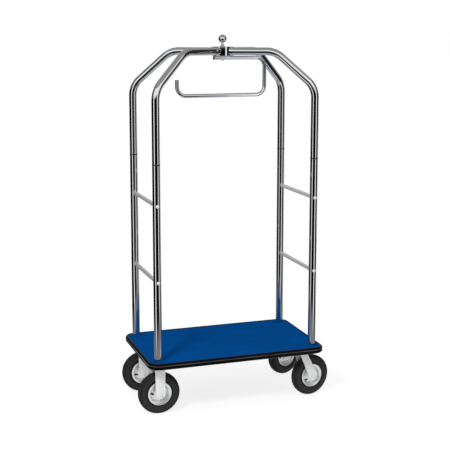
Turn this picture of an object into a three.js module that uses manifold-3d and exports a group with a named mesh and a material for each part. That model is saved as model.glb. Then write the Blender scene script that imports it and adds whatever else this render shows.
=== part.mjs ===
// Luggage cart of the birdcage kind, as hotel porters push it: a carpeted deck with a rubber bumper, four
// plated posts that bend in to a crown hub, end rungs, a garment rail under the hub, and pneumatic casters.
// Millimetres, +Z up, +X along the deck, the floor at Z = 0. The deck's front long side faces -Y.
import * as THREE from 'three';
import { mergeVertices } from 'three/addons/utils/BufferGeometryUtils.js';
import loadManifold from 'manifold-3d';

const wasm = await loadManifold();
wasm.setup();

// Fits
const clearance = 0.3;
const spigotFit = 0.6;
const boltFit = 0.4;

// Overall
const overallHeight = 1829;

// Deck
const deckLength = 888;
const deckWidth = 534;
const deckCorner = 47;
const boardThickness = 18;
const carpetThickness = 7.7;
const bumperHeight = 32;
const bumperLip = 3;
const bumperDepth = 11;
const bumperRound = 9;

// Posts
const postInsetX = 44;
const postInsetY = 49;
const tubeDiameter = 38.1;
const tubeWall = 1.5;
const jointHeight = 1229;
const jointRingThickness = 3.4;
const jointRingProud = 0.8;
const spigotLength = 60;
const spigotWeld = 28;
const footPlugLength = 26;
const footBoltDiameter = 10;
const footBoltHeadDiameter = 18;
const footBoltHeadHeight = 6.4;

// Rungs across the ends
const lowerRungRise = 389.5;
const upperRungRise = 757;
const rungDiameter = 20;
const rungWall = 1.5;
const rungPlugLength = 34;
const rungScrewDiameter = 8;
const rungScrewBite = 24;
const rungScrewHeadDiameter = 16;
const rungScrewHeadHeight = 4.6;

// Bent tops and crown hub
const topRunHeight = 1748;
const topRunReach = 260;
const shoulderDrop = 172;
const bendRadius = 110;
const socketWall = 3;
const socketWeb = 3.4;
const socketDepth = 12;
const hubCoreRadius = 42;

// Finial
const ballDiameter = 40.8;
const neckDiameter = 10;
const finialBaseDiameter = 23;
const finialBaseHeight = 4;
const finialStudDiameter = 8;
const finialStudLength = 12;

// Garment rail
const railDiameter = 19;
const railWall = 1.4;
const railBend = 45;
const railShortReach = 44;
const railFarReach = 220;
const railDrop = 183;
const railOpenReach = 233;
const railOpenRise = 78;
const railBoltDiameter = 8;
const railBoltBite = 14;
const railBoltHeadDiameter = 15;
const railBoltHeadHeight = 5;
const railPlugHead = 3;
const railPlugStem = 14;

// Casters
const casterHeight = 252.7;
const rigidInset = 59;
const swivelInset = 84;
const casterInset = 101;
const trail = 60;
const restYawFront = THREE.MathUtils.degToRad(10);
const restYawRear = THREE.MathUtils.degToRad(20);
const plateLength = 105;
const plateWidth = 80;
const plateThickness = 4;
const plateCorner = 8;
const plateHoleInset = 12;
const plateHoleDiameter = 9;
const forkInside = 63;
const forkThickness = 4;
const legWidth = 46;
const crownLength = 66;
const crownThickness = 5;
const crownCorner = 12;
const raceHeight = 9;
const raceDiameter = 54;
const kingpinDiameter = 12;
const kingpinHeadDiameter = 22;
const kingpinHeadHeight = 7;

// Wheels
const wheelDiameter = 208;
const tyreWidth = 50;
const treadWidth = 26;
const shoulderWidth = 43;
const shoulderDepth = 8;
const tyreWall = 7;
const rimDiameter = 118;
const rimSeatDiameter = 107;
const rimWidth = 44;
const rimWellDiameter = 94;
const rimSheet = 3;
const rimDishDiameter = 84;
const rimDiscThickness = 7;
const wheelHubDiameter = 33;
const wheelHubSideGap = 1;
const axleDiameter = 12;
const axleHeadDiameter = 20;
const axleHeadHeight = 7;
const axleEnd = 4;
const beadWidth = 7;
const flangeLip = 3;

// Facets round each kind of round piece
const tubeSides = 12;
const slimSides = 10;
const boltSides = 8;
const hexSides = 6;
const tyreSides = 24;
const rimSides = 16;
const ballSteps = 8;
const bendSteps = 3;
const cornerSteps = 4;

// Levels and places that follow from the sizes above
const tubeRadius = tubeDiameter / 2;
const tubeBore = tubeRadius - tubeWall;
const postX = deckLength / 2 - postInsetX;
const postY = deckWidth / 2 - postInsetY;
const postReach = Math.hypot(postX, postY);
const postAngle = Math.atan2(postY, postX);
const boardBottom = casterHeight + clearance;
const boardTop = boardBottom + boardThickness;
const carpetBottom = boardTop + clearance;
const carpetTop = carpetBottom + carpetThickness;
const postFoot = boardTop + clearance;
const ringBottom = jointHeight + clearance;
const ringTop = ringBottom + jointRingThickness;
const upperFoot = ringTop + clearance;
const rungLevels = { lower: carpetTop + lowerRungRise, upper: carpetTop + upperRungRise };
const socketRadius = tubeRadius + clearance;
const socketFloor = (socketRadius + socketWeb / 2) / Math.sin(Math.min(postAngle, Math.PI / 2 - postAngle));
const hubReach = socketFloor + socketDepth;
const hubHalfHeight = socketRadius + socketWall;
const hubBottom = topRunHeight - hubHalfHeight;
const hubTop = topRunHeight + hubHalfHeight;
const railRadius = railDiameter / 2;
const railLevel = hubBottom - clearance - railRadius;
const wheelRadius = wheelDiameter / 2;
const rigidX = deckLength / 2 - rigidInset;
const swivelX = deckLength / 2 - swivelInset;
const casterY = deckWidth / 2 - casterInset;
const plateBottom = casterHeight - plateThickness;
const crownTop = plateBottom - raceHeight;
const crownBottom = crownTop - crownThickness;
const forkOutside = forkInside + 2 * forkThickness;
const axleRadius = axleDiameter / 2;
const frontReach = swivelX + (trail + wheelRadius) * Math.cos(restYawFront);
const frameShift = (rigidX + wheelRadius - frontReach - (treadWidth / 2) * Math.sin(restYawFront)) / 2;

// Finishes
function finish(color, roughness, metalness) {
  return new THREE.MeshStandardMaterial({ color, roughness, metalness });
}
const chrome = finish(0xd8dadd, 0.12, 1);
const satinSteel = finish(0xa9abae, 0.4, 1);
const zincPlate = finish(0xcfd1d2, 0.35, 0.8);
const darkSteel = finish(0x2b2b2d, 0.5, 0.8);
const blackRubber = finish(0x1c1b1c, 0.8, 0);
const blueCarpet = finish(0x02458a, 0.95, 0);
const plywood = finish(0x3a332c, 0.8, 0);
const blackPlastic = finish(0x161617, 0.5, 0);

// Solids: three.js geometry in and out of boolean work
function toSolid(geometry) {
  const bare = geometry.clone();
  bare.deleteAttribute('normal');
  bare.deleteAttribute('uv');
  const merged = mergeVertices(bare, 1e-4);
  const vertProperties = new Float32Array(merged.attributes.position.array);
  const triVerts = new Uint32Array(merged.index.array);
  return new wasm.Manifold(new wasm.Mesh({ numProp: 3, vertProperties, triVerts }));
}

function toGeometry(solid) {
  const mesh = solid.getMesh();
  const geometry = new THREE.BufferGeometry();
  geometry.setAttribute('position', new THREE.BufferAttribute(new Float32Array(mesh.vertProperties), 3));
  geometry.setIndex(new THREE.BufferAttribute(new Uint32Array(mesh.triVerts), 1));
  geometry.computeVertexNormals();
  return geometry;
}

function join(...pieces) {
  const whole = pieces.slice(1).reduce((sum, piece) => sum.add(toSolid(piece)), toSolid(pieces[0]));
  return toGeometry(whole);
}

function cut(piece, ...tools) {
  const rest = tools.reduce((sum, tool) => sum.subtract(toSolid(tool)), toSolid(piece));
  return toGeometry(rest);
}

// Shapes
function arcPoints(x, y, radius, from, to, steps) {
  const angles = Array.from({ length: steps + 1 }, (_, i) => from + ((to - from) * i) / steps);
  return angles.map((a) => new THREE.Vector2(x + radius * Math.cos(a), y + radius * Math.sin(a)));
}

function roundedRectangle(length, width, corner) {
  const x = length / 2 - corner;
  const y = width / 2 - corner;
  const quarter = Math.PI / 2;
  const centres = [[x, y], [-x, y], [-x, -y], [x, -y]];
  const points = centres.flatMap(([cx, cy], i) =>
    arcPoints(cx, cy, corner, i * quarter, (i + 1) * quarter, cornerSteps));
  return new THREE.Shape(points);
}

function circlePoints(x, y, radius, sides) {
  const around = radius / Math.cos(Math.PI / sides);
  return arcPoints(x, y, around, 0, 2 * Math.PI, sides).slice(0, -1);
}

function roundHole(x, y, radius, sides) {
  return new THREE.Path(circlePoints(x, y, radius, sides));
}

function slab(shape, bottom, thickness) {
  const geometry = new THREE.ExtrudeGeometry(shape, { depth: thickness, bevelEnabled: false });
  return geometry.translate(0, 0, bottom);
}

function rodZ(radius, bottom, top, sides) {
  const rod = new THREE.CylinderGeometry(radius, radius, top - bottom, sides);
  return rod.rotateX(Math.PI / 2).translate(0, 0, (top + bottom) / 2);
}

function rodX(radius, from, to, sides) {
  return rodZ(radius, from, to, sides).rotateY(Math.PI / 2);
}

function rodY(radius, from, to, sides) {
  return rodZ(radius, from, to, sides).rotateX(-Math.PI / 2);
}

// Cutters whose flats, not their edges, lie at the radius, so that a round piece of that radius passes
function boreZ(radius, bottom, top, sides) {
  return rodZ(radius / Math.cos(Math.PI / sides), bottom, top, sides);
}

function boreX(radius, from, to, sides) {
  return boreZ(radius, from, to, sides).rotateY(Math.PI / 2);
}

function boreY(radius, from, to, sides) {
  return boreZ(radius, from, to, sides).rotateX(-Math.PI / 2);
}

// A closed outline of [radius, along] pairs turned about the Y axis
function turnedY(outline, sides) {
  const points = outline.map(([radius, along]) => new THREE.Vector2(radius, along));
  const closed = outline[0][0] > 0 ? [...points, points[0].clone()] : points;
  return new THREE.LatheGeometry(closed, sides);
}

function turnedZ(outline, sides) {
  return turnedY(outline, sides).rotateX(Math.PI / 2);
}

// A path of straight runs and round bends in the X-Z plane, sampled only where its direction changes
class BentPath extends THREE.Curve {
  constructor(corners, radius, steps) {
    super();
    this.stations = [];
    corners.forEach((corner, i) => {
      const before = corners[i - 1];
      const after = corners[i + 1];
      if (!before || !after) {
        const along = before ? corner.clone().sub(before) : after.clone().sub(corner);
        this.stations.push({ point: corner.clone(), tangent: along.normalize() });
        return;
      }
      this.addBend(corner, corner.clone().sub(before).normalize(), after.clone().sub(corner).normalize(),
        radius, steps);
    });
  }

  addBend(corner, arriving, leaving, radius, steps) {
    const turn = arriving.angleTo(leaving);
    const inset = radius * Math.tan(turn / 2);
    const start = corner.clone().addScaledVector(arriving, -inset);
    const inward = leaving.clone().addScaledVector(arriving, -leaving.dot(arriving)).normalize();
    for (let i = 0; i <= steps; i += 1) {
      const angle = (turn * i) / steps;
      const point = start.clone().addScaledVector(arriving, radius * Math.sin(angle))
        .addScaledVector(inward, radius * (1 - Math.cos(angle)));
      const tangent = arriving.clone().multiplyScalar(Math.cos(angle)).addScaledVector(inward, Math.sin(angle));
      this.stations.push({ point, tangent });
    }
  }

  get steps() {
    return this.stations.length - 1;
  }

  stationAt(u) {
    return this.stations[Math.round(u * this.steps)];
  }

  getPointAt(u, target = new THREE.Vector3()) {
    return target.copy(this.stationAt(u).point);
  }

  getTangentAt(u, target = new THREE.Vector3()) {
    return target.copy(this.stationAt(u).tangent);
  }
}

function bentTube(corners, radius, wall, bend, sides) {
  const path = new BentPath(corners, bend, bendSteps);
  const section = new THREE.Shape(arcPoints(0, 0, radius, 0, 2 * Math.PI, sides).slice(0, -1));
  section.holes.push(new THREE.Path(arcPoints(0, 0, radius - wall, 0, 2 * Math.PI, sides).slice(0, -1)));
  return new THREE.ExtrudeGeometry(section, { steps: path.steps, extrudePath: path, bevelEnabled: false });
}

// Deck
function eachCorner(visit) {
  for (const [side, sx] of [['left', -1], ['right', 1]]) {
    for (const [end, sy] of [['front', -1], ['rear', 1]]) {
      visit(`${end}_${side}`, sx, sy);
    }
  }
}

function deckBoard() {
  const shape = roundedRectangle(deckLength, deckWidth, deckCorner);
  eachCorner((_, sx, sy) => {
    shape.holes.push(roundHole(sx * postX, sy * postY, footBoltDiameter / 2 + boltFit, boltSides));
  });
  return slab(shape, boardBottom, boardThickness);
}

function deckCarpet() {
  const trim = 2 * clearance;
  const shape = roundedRectangle(deckLength - trim, deckWidth - trim, deckCorner - clearance);
  eachCorner((_, sx, sy) => {
    shape.holes.push(roundHole(sx * postX, sy * postY, tubeRadius + clearance, tubeSides));
  });
  return slab(shape, carpetBottom, carpetThickness);
}

function edgeBumper() {
  const grow = 2 * bumperDepth;
  const fit = 2 * clearance;
  const outline = roundedRectangle(deckLength + grow, deckWidth + grow, deckCorner + bumperDepth);
  const body = new THREE.ExtrudeGeometry(outline, {
    depth: bumperHeight - 2 * bumperRound,
    bevelThickness: bumperRound,
    bevelSize: bumperRound,
    bevelOffset: -bumperRound,
    bevelSegments: 3,
  });
  body.translate(0, 0, carpetTop + bumperLip - bumperHeight + bumperRound);
  const inside = roundedRectangle(deckLength + fit, deckWidth + fit, deckCorner + clearance);
  return cut(body, slab(inside, carpetTop - 2 * bumperHeight, 3 * bumperHeight));
}

// Posts
function lowerPost() {
  const boltHole = footBoltDiameter / 2 + boltFit;
  const plugTop = postFoot + footPlugLength;
  const tube = turnedZ([
    [boltHole, postFoot], [tubeRadius, postFoot], [tubeRadius, jointHeight],
    [tubeBore, jointHeight], [tubeBore, plugTop], [boltHole, plugTop],
  ], tubeSides);
  const holes = Object.values(rungLevels).map((level) =>
    boreY(rungScrewDiameter / 2 + boltFit, -tubeDiameter, tubeDiameter, boltSides).translate(0, 0, level));
  return cut(tube, ...holes);
}

function jointRing() {
  const outer = tubeRadius + jointRingProud;
  return turnedZ([[tubeBore, ringBottom], [outer, ringBottom], [outer, ringTop], [tubeBore, ringTop]], tubeSides);
}

// The upper post stands on its own axis with the hub in the direction of +X
function upperPost() {
  const shoulder = topRunHeight - shoulderDrop;
  const tube = bentTube([
    new THREE.Vector3(0, 0, upperFoot),
    new THREE.Vector3(0, 0, shoulder),
    new THREE.Vector3(postReach - topRunReach, 0, topRunHeight),
    new THREE.Vector3(postReach - socketFloor - clearance, 0, topRunHeight),
  ], tubeRadius, tubeWall, bendRadius, tubeSides);
  const spigotRadius = tubeBore - spigotFit;
  const weldRadius = tubeRadius - tubeWall / 2;
  const spigot = turnedZ([
    [spigotRadius - tubeWall, upperFoot - spigotLength], [spigotRadius, upperFoot - spigotLength],
    [spigotRadius, upperFoot], [weldRadius, upperFoot], [weldRadius, upperFoot + spigotWeld],
    [spigotRadius - tubeWall, upperFoot + spigotWeld],
  ], tubeSides);
  return join(tube, spigot);
}

function footBolt() {
  const seat = boardBottom - clearance;
  const head = rodZ(footBoltHeadDiameter / 2, seat - footBoltHeadHeight, seat, hexSides);
  const shank = rodZ(footBoltDiameter / 2, seat - footBoltHeadHeight / 2, postFoot + footPlugLength, boltSides);
  return join(head, shank);
}

// Rungs
function rung() {
  const radius = rungDiameter / 2;
  const screwHole = rungScrewDiameter / 2 + boltFit;
  const bore = radius - rungWall;
  const plugEnd = postY - tubeRadius - rungPlugLength;
  const bar = turnedY([
    [screwHole, -postY], [radius, -postY], [radius, postY], [screwHole, postY],
    [screwHole, plugEnd], [bore, plugEnd], [bore, -plugEnd], [screwHole, -plugEnd],
  ], slimSides);
  const post = boreZ(tubeRadius + clearance, -rungDiameter, rungDiameter, tubeSides);
  return cut(bar, post.clone().translate(0, -postY, 0), post.clone().translate(0, postY, 0));
}

// The screw's head seats on the plane Y = 0 and its shank runs along +Y through the post into the rung
function rungScrew() {
  const shank = rungScrewDiameter / 2;
  const head = rungScrewHeadDiameter / 2;
  const length = tubeDiameter + rungScrewBite;
  return turnedY([
    [0, -rungScrewHeadHeight], [shank, -rungScrewHeadHeight], [head, -rungScrewHeadHeight / 3],
    [head, 0], [shank, 0], [shank, length], [0, length],
  ], boltSides);
}

// Crown hub, finial and garment rail
function crownHub() {
  const core = rodZ(hubCoreRadius, hubBottom, hubTop, slimSides);
  const turns = [postAngle, -postAngle, Math.PI - postAngle, Math.PI + postAngle];
  const arms = turns.map((turn) => {
    const arm = rodX(hubHalfHeight, 0, hubReach, tubeSides);
    return arm.rotateZ(turn).translate(0, 0, topRunHeight);
  });
  const sockets = turns.map((turn) => {
    const socket = boreX(socketRadius, socketFloor, hubReach + socketDepth, tubeSides);
    return socket.rotateZ(turn).translate(0, 0, topRunHeight);
  });
  const boltHole = boreZ(railBoltDiameter / 2 + boltFit, hubBottom - socketDepth,
    hubBottom + railBoltBite + boltFit, boltSides);
  const studHole = boreZ(finialStudDiameter / 2 + boltFit, hubTop - finialStudLength - boltFit,
    hubTop + socketDepth, boltSides);
  return cut(join(core, ...arms), ...sockets, boltHole, studHole);
}

function finial() {
  const ball = ballDiameter / 2;
  const neck = neckDiameter / 2;
  const base = finialBaseDiameter / 2;
  const stud = finialStudDiameter / 2;
  const centre = overallHeight - ball;
  const seat = hubTop + clearance;
  const neckAngle = -Math.acos(neck / ball);
  const ballArc = arcPoints(0, centre, ball, neckAngle, Math.PI / 2, ballSteps).slice(0, -1).map((p) => [p.x, p.y]);
  return turnedZ([
    [0, seat - finialStudLength], [stud, seat - finialStudLength], [stud, seat], [base, seat],
    [base, seat + finialBaseHeight], [neck, seat + finialBaseHeight + neck], ...ballArc, [0, overallHeight],
  ], tubeSides);
}

function garmentRail() {
  const low = railLevel - railDrop;
  const rail = bentTube([
    new THREE.Vector3(-railShortReach, 0, railLevel),
    new THREE.Vector3(railFarReach, 0, railLevel),
    new THREE.Vector3(railFarReach, 0, low),
    new THREE.Vector3(-railOpenReach, 0, low),
    new THREE.Vector3(-railOpenReach, 0, low + railOpenRise),
  ], railRadius, railWall, railBend, slimSides);
  return cut(rail, boreZ(railBoltDiameter / 2 + boltFit, railLevel - railDiameter, railLevel + railDiameter,
    boltSides));
}

function railBolt() {
  const seat = railLevel - railRadius - clearance;
  const head = rodZ(railBoltHeadDiameter / 2, seat - railBoltHeadHeight, seat, hexSides);
  const shank = rodZ(railBoltDiameter / 2, seat - railBoltHeadHeight / 2, hubBottom + railBoltBite, boltSides);
  return join(head, shank);
}

function railPlug() {
  const mouth = -railShortReach - clearance;
  const stem = (railRadius - railWall - spigotFit) * Math.cos(Math.PI / slimSides);
  const head = rodX(railRadius, mouth - railPlugHead, mouth, slimSides);
  const body = rodX(stem, mouth - railPlugHead / 2, mouth + railPlugStem, slimSides);
  return join(head, body).translate(0, 0, railLevel);
}

// Casters, each about its own vertical axis on the floor, with the wheel trailing towards +X
function topPlate() {
  const shape = roundedRectangle(plateLength, plateWidth, plateCorner);
  const x = plateLength / 2 - plateHoleInset;
  const y = plateWidth / 2 - plateHoleInset;
  for (const [sx, sy] of [[1, 1], [-1, 1], [-1, -1], [1, -1]]) {
    shape.holes.push(roundHole(sx * x, sy * y, plateHoleDiameter / 2, boltSides));
  }
  return slab(shape, plateBottom, plateThickness);
}

// One leg of a fork: a plate from a level top edge down to a round end about the axle
function forkLeg(axleX, topLevel, topWidth, inner) {
  const axle = new THREE.Vector2(axleX, wheelRadius);
  const end = legWidth / 2;
  const corners = [new THREE.Vector2(topWidth / 2, topLevel), new THREE.Vector2(-topWidth / 2, topLevel)];
  const [right, left] = corners.map((corner, i) => {
    const away = corner.clone().sub(axle);
    const swing = Math.acos(end / away.length());
    return away.angle() + (i === 0 ? -swing : swing);
  });
  const around = right < left ? right + 2 * Math.PI : right;
  const shape = new THREE.Shape([corners[0], corners[1],
    ...arcPoints(axle.x, axle.y, end, left, around, cornerSteps + 2)]);
  shape.holes.push(roundHole(axle.x, axle.y, axleRadius + boltFit, boltSides));
  return slab(shape, 0, forkThickness).rotateX(Math.PI / 2).translate(0, inner + forkThickness, 0);
}

function forkLegs(axleX, topLevel, topWidth) {
  const inner = forkInside / 2;
  return [forkLeg(axleX, topLevel, topWidth, inner), forkLeg(axleX, topLevel, topWidth, -inner - forkThickness)];
}

function rigidFork() {
  return join(topPlate(), ...forkLegs(0, plateBottom + plateThickness / 2, legWidth));
}

function swivelPlate() {
  const race = rodZ(raceDiameter / 2, crownTop + clearance, plateBottom + plateThickness / 2, tubeSides);
  const hole = boreZ(kingpinDiameter / 2 + boltFit, crownBottom, casterHeight + raceHeight, boltSides);
  return cut(join(topPlate(), race), hole);
}

function swivelFork() {
  const crown = slab(roundedRectangle(crownLength, forkOutside, crownCorner), crownBottom, crownThickness);
  const legs = forkLegs(trail, crownBottom + crownThickness / 2, crownLength - 2 * crownCorner);
  const hole = boreZ(kingpinDiameter / 2 + boltFit, crownBottom - crownThickness, crownTop + crownThickness,
    boltSides);
  return cut(join(crown, ...legs), hole);
}

function kingpin() {
  const seat = crownBottom - clearance;
  const pin = kingpinDiameter / 2;
  const head = kingpinHeadDiameter / 2;
  const end = casterHeight - clearance;
  return turnedZ([
    [0, seat - kingpinHeadHeight], [pin, seat - kingpinHeadHeight], [head, seat - kingpinHeadHeight / 2],
    [head, seat], [pin, seat], [pin, end], [0, end],
  ], boltSides);
}

function axleBolt() {
  const seat = forkOutside / 2 + clearance;
  const head = rodY(axleHeadDiameter / 2, seat, seat + axleHeadHeight, hexSides);
  const shank = rodY(axleRadius, -seat - axleHeadHeight - axleEnd, seat + axleHeadHeight / 2, boltSides);
  return join(head, shank);
}

function axleNut() {
  const seat = -forkOutside / 2 - clearance;
  const nut = rodY(axleHeadDiameter / 2, seat - axleHeadHeight, seat, hexSides);
  return cut(nut, boreY(axleRadius + boltFit, seat - 2 * axleHeadHeight, seat + axleHeadHeight, boltSides));
}

// An outline that is the same on both sides of the wheel's middle plane, given for one side
function mirrored(outline) {
  return [...outline, ...outline.map(([radius, along]) => [radius, -along]).reverse()];
}

function wheelRim() {
  const bore = axleRadius + boltFit;
  const hubHalf = forkInside / 2 - wheelHubSideGap;
  const half = rimWidth / 2;
  const lip = half - flangeLip;
  const seatEdge = lip - rimSheet;
  const discHalf = rimDiscThickness / 2;
  return turnedY(mirrored([
    [bore, -hubHalf], [wheelHubDiameter / 2, -hubHalf], [wheelHubDiameter / 2, -discHalf],
    [rimDishDiameter / 2, -discHalf], [rimSeatDiameter / 2 - 2 * rimSheet, -lip], [rimDiameter / 2, -half],
    [rimDiameter / 2, -lip], [rimSeatDiameter / 2, -seatEdge], [rimWellDiameter / 2, -discHalf - rimSheet],
  ]), rimSides);
}

// An open casing: out over one flange, round the tread, back over the other flange, and the air space inside
function tyre() {
  const seat = (rimSeatDiameter / 2 + clearance) / Math.cos(Math.PI / tyreSides);
  const toe = rimWidth / 2 - flangeLip - rimSheet - clearance;
  const overFlange = rimDiameter / 2 + flangeLip;
  const widest = (wheelRadius + rimDiameter / 2) / 2;
  const half = tyreWidth / 2;
  const treadHalf = treadWidth / 2;
  const casing = mirrored([
    [seat, beadWidth - toe], [seat, -toe], [overFlange, flangeLip - rimWidth / 2], [widest, -half],
    [wheelRadius - shoulderDepth, -shoulderWidth / 2], [wheelRadius, -treadHalf],
  ]);
  const airSpace = mirrored([[widest, half - tyreWall], [wheelRadius - tyreWall, treadHalf / 2]]);
  return turnedY([...casing, ...airSpace], tyreSides);
}

// Assembly
const cart = new THREE.Group();
cart.position.x = frameShift;

function add(parent, name, geometry, material) {
  const mesh = new THREE.Mesh(geometry, material);
  mesh.name = name;
  parent.add(mesh);
  return mesh;
}

function groupAt(parent, x, y, z, turn = 0) {
  const group = new THREE.Group();
  group.position.set(x, y, z);
  group.rotation.z = turn;
  parent.add(group);
  return group;
}

function addDeck() {
  add(cart, 'deck_board', deckBoard(), plywood);
  add(cart, 'deck_carpet', deckCarpet(), blueCarpet);
  add(cart, 'edge_bumper', edgeBumper(), blackRubber);
}

function addPosts() {
  const shapes = { lower: lowerPost(), ring: jointRing(), upper: upperPost(), bolt: footBolt() };
  eachCorner((place, sx, sy) => {
    const post = groupAt(cart, sx * postX, sy * postY, 0);
    add(post, `lower_post_${place}`, shapes.lower, chrome);
    add(post, `joint_ring_${place}`, shapes.ring, darkSteel);
    add(post, `post_foot_bolt_${place}`, shapes.bolt, zincPlate);
    const inward = Math.atan2(-sy * postY, -sx * postX);
    add(groupAt(post, 0, 0, 0, inward), `upper_post_${place}`, shapes.upper, chrome);
  });
}

function addRungs() {
  const bar = rung();
  const screw = rungScrew();
  for (const [level, height] of Object.entries(rungLevels)) {
    for (const [side, sx] of [['left', -1], ['right', 1]]) {
      const end = groupAt(cart, sx * postX, 0, height);
      add(end, `${level}_rung_${side}`, bar, satinSteel);
      const seat = postY + tubeRadius + clearance;
      add(groupAt(end, 0, -seat, 0), `${level}_rung_screw_front_${side}`, screw, zincPlate);
      add(groupAt(end, 0, seat, 0, Math.PI), `${level}_rung_screw_rear_${side}`, screw, zincPlate);
    }
  }
}

function addCrown() {
  add(cart, 'crown_hub', crownHub(), chrome);
  add(cart, 'finial', finial(), chrome);
  add(cart, 'garment_rail', garmentRail(), chrome);
  add(cart, 'garment_rail_bolt', railBolt(), zincPlate);
  add(cart, 'garment_rail_plug', railPlug(), blackPlastic);
}

function addCasters() {
  const bolt = axleBolt();
  const nut = axleNut();
  const rim = wheelRim();
  const tread = tyre();
  const addWheel = (parent, place, axleX) => {
    const wheel = groupAt(parent, axleX, 0, wheelRadius);
    add(wheel, `axle_bolt_${place}`, bolt, zincPlate);
    add(wheel, `axle_nut_${place}`, nut, zincPlate);
    add(wheel, `wheel_rim_${place}`, rim, zincPlate);
    add(wheel, `tyre_${place}`, tread, blackRubber);
  };
  const swivel = { plate: swivelPlate(), fork: swivelFork(), pin: kingpin() };
  const fixedFork = rigidFork();
  for (const [end, sy, yaw] of [['front', -1, restYawFront], ['rear', 1, restYawRear]]) {
    const fixed = groupAt(cart, -rigidX, sy * casterY, 0);
    add(fixed, `rigid_fork_${end}_left`, fixedFork, zincPlate);
    addWheel(fixed, `${end}_left`, 0);
    const mount = groupAt(cart, swivelX, sy * casterY, 0);
    add(mount, `swivel_plate_${end}_right`, swivel.plate, zincPlate);
    add(mount, `kingpin_${end}_right`, swivel.pin, zincPlate);
    const turning = groupAt(mount, 0, 0, 0, yaw);
    add(turning, `swivel_fork_${end}_right`, swivel.fork, zincPlate);
    addWheel(turning, `${end}_right`, trail);
  }
}

addDeck();
addPosts();
addRungs();
addCrown();
addCasters();

export default cart;
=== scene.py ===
"""Luggage cart of the birdcage kind, as hotel porters push it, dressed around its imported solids.

Metres, +Z up, +X along the deck, the floor at Z = 0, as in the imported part. Each sub-assembly is a class that
models its pieces with Blender's own tools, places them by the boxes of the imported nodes, and gives them a
finish.
"""

import logging
import math
from collections.abc import Callable, Sequence
from dataclasses import dataclass, field
from enum import Enum

import bmesh
import bpy
from mathutils import Matrix, Vector


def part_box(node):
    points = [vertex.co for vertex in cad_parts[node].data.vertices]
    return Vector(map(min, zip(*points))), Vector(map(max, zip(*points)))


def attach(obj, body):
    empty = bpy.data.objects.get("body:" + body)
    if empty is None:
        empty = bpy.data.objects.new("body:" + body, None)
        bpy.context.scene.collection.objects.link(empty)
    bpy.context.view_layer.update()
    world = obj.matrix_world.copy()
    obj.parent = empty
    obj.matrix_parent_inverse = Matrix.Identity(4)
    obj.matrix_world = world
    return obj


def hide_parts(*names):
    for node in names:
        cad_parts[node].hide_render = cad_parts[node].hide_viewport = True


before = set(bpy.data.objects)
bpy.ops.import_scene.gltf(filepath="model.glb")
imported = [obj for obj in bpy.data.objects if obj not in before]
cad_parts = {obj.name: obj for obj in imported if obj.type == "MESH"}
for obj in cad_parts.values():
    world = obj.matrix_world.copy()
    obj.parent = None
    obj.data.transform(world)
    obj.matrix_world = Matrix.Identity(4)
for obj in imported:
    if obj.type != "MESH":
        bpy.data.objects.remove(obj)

LOG = logging.getLogger("luggage_cart")
FULL_TURN = 2 * math.pi
QUARTER_TURN = math.pi / 2
FULL_DEGREES = 360
HEXAGON = 6
UP = Vector((0, 0, 1))
MERGE_DISTANCE = 1e-6
DRAFT_SIZE = 1e-4
TUBE_RADIUS = 0.01905
WHEEL_RADIUS = 0.104

Piece = bpy.types.Object
Point = tuple[float, float]
Triple = tuple[float, float, float]
Profile = Sequence[Point]


class Corner(Enum):
    """The four corners of the deck, by the words that end the node names."""

    FRONT_LEFT = "front_left"
    REAR_LEFT = "rear_left"
    FRONT_RIGHT = "front_right"
    REAR_RIGHT = "rear_right"


class Body(Enum):
    """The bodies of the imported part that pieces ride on."""

    FRAME = "cart_frame"
    RAIL = "garment_rail"
    SWIVEL_FRONT = "swivel_caster_front"
    SWIVEL_REAR = "swivel_caster_rear"


class Operation(Enum):
    """What a boolean tool does to a piece."""

    CUT = "DIFFERENCE"
    WELD = "UNION"


def middle(node: str) -> Vector:
    """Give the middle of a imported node's box."""
    low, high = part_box(node)
    return (low + high) / 2


def arc(centre: Point, radius: float, start: float, end: float, steps: int) -> list[Point]:
    """List the points of an arc in a plane.

    Args:
        centre: The arc's centre.
        radius: Its radius.
        start: The angle of its first point, in degrees.
        end: The angle of its last point, in degrees.
        steps: How many chords it has.

    Returns:
        The points, from start to end.
    """
    angles = [math.radians(start + (end - start) * i / steps) for i in range(steps + 1)]
    return [(centre[0] + radius * math.cos(a), centre[1] + radius * math.sin(a)) for a in angles]


def hexagon(flat: float, height: float) -> list[Vector]:
    """List the corners of a hexagon about the Z axis, by the distance to its flats.

    Args:
        flat: The distance from the axis to each flat.
        height: The corners' height.

    Returns:
        The corners, in order.
    """
    corner = flat / math.cos(math.pi / HEXAGON)
    angles = [FULL_TURN * i / HEXAGON for i in range(HEXAGON)]
    return [Vector((corner * math.cos(a), corner * math.sin(a), height)) for a in angles]


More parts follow.
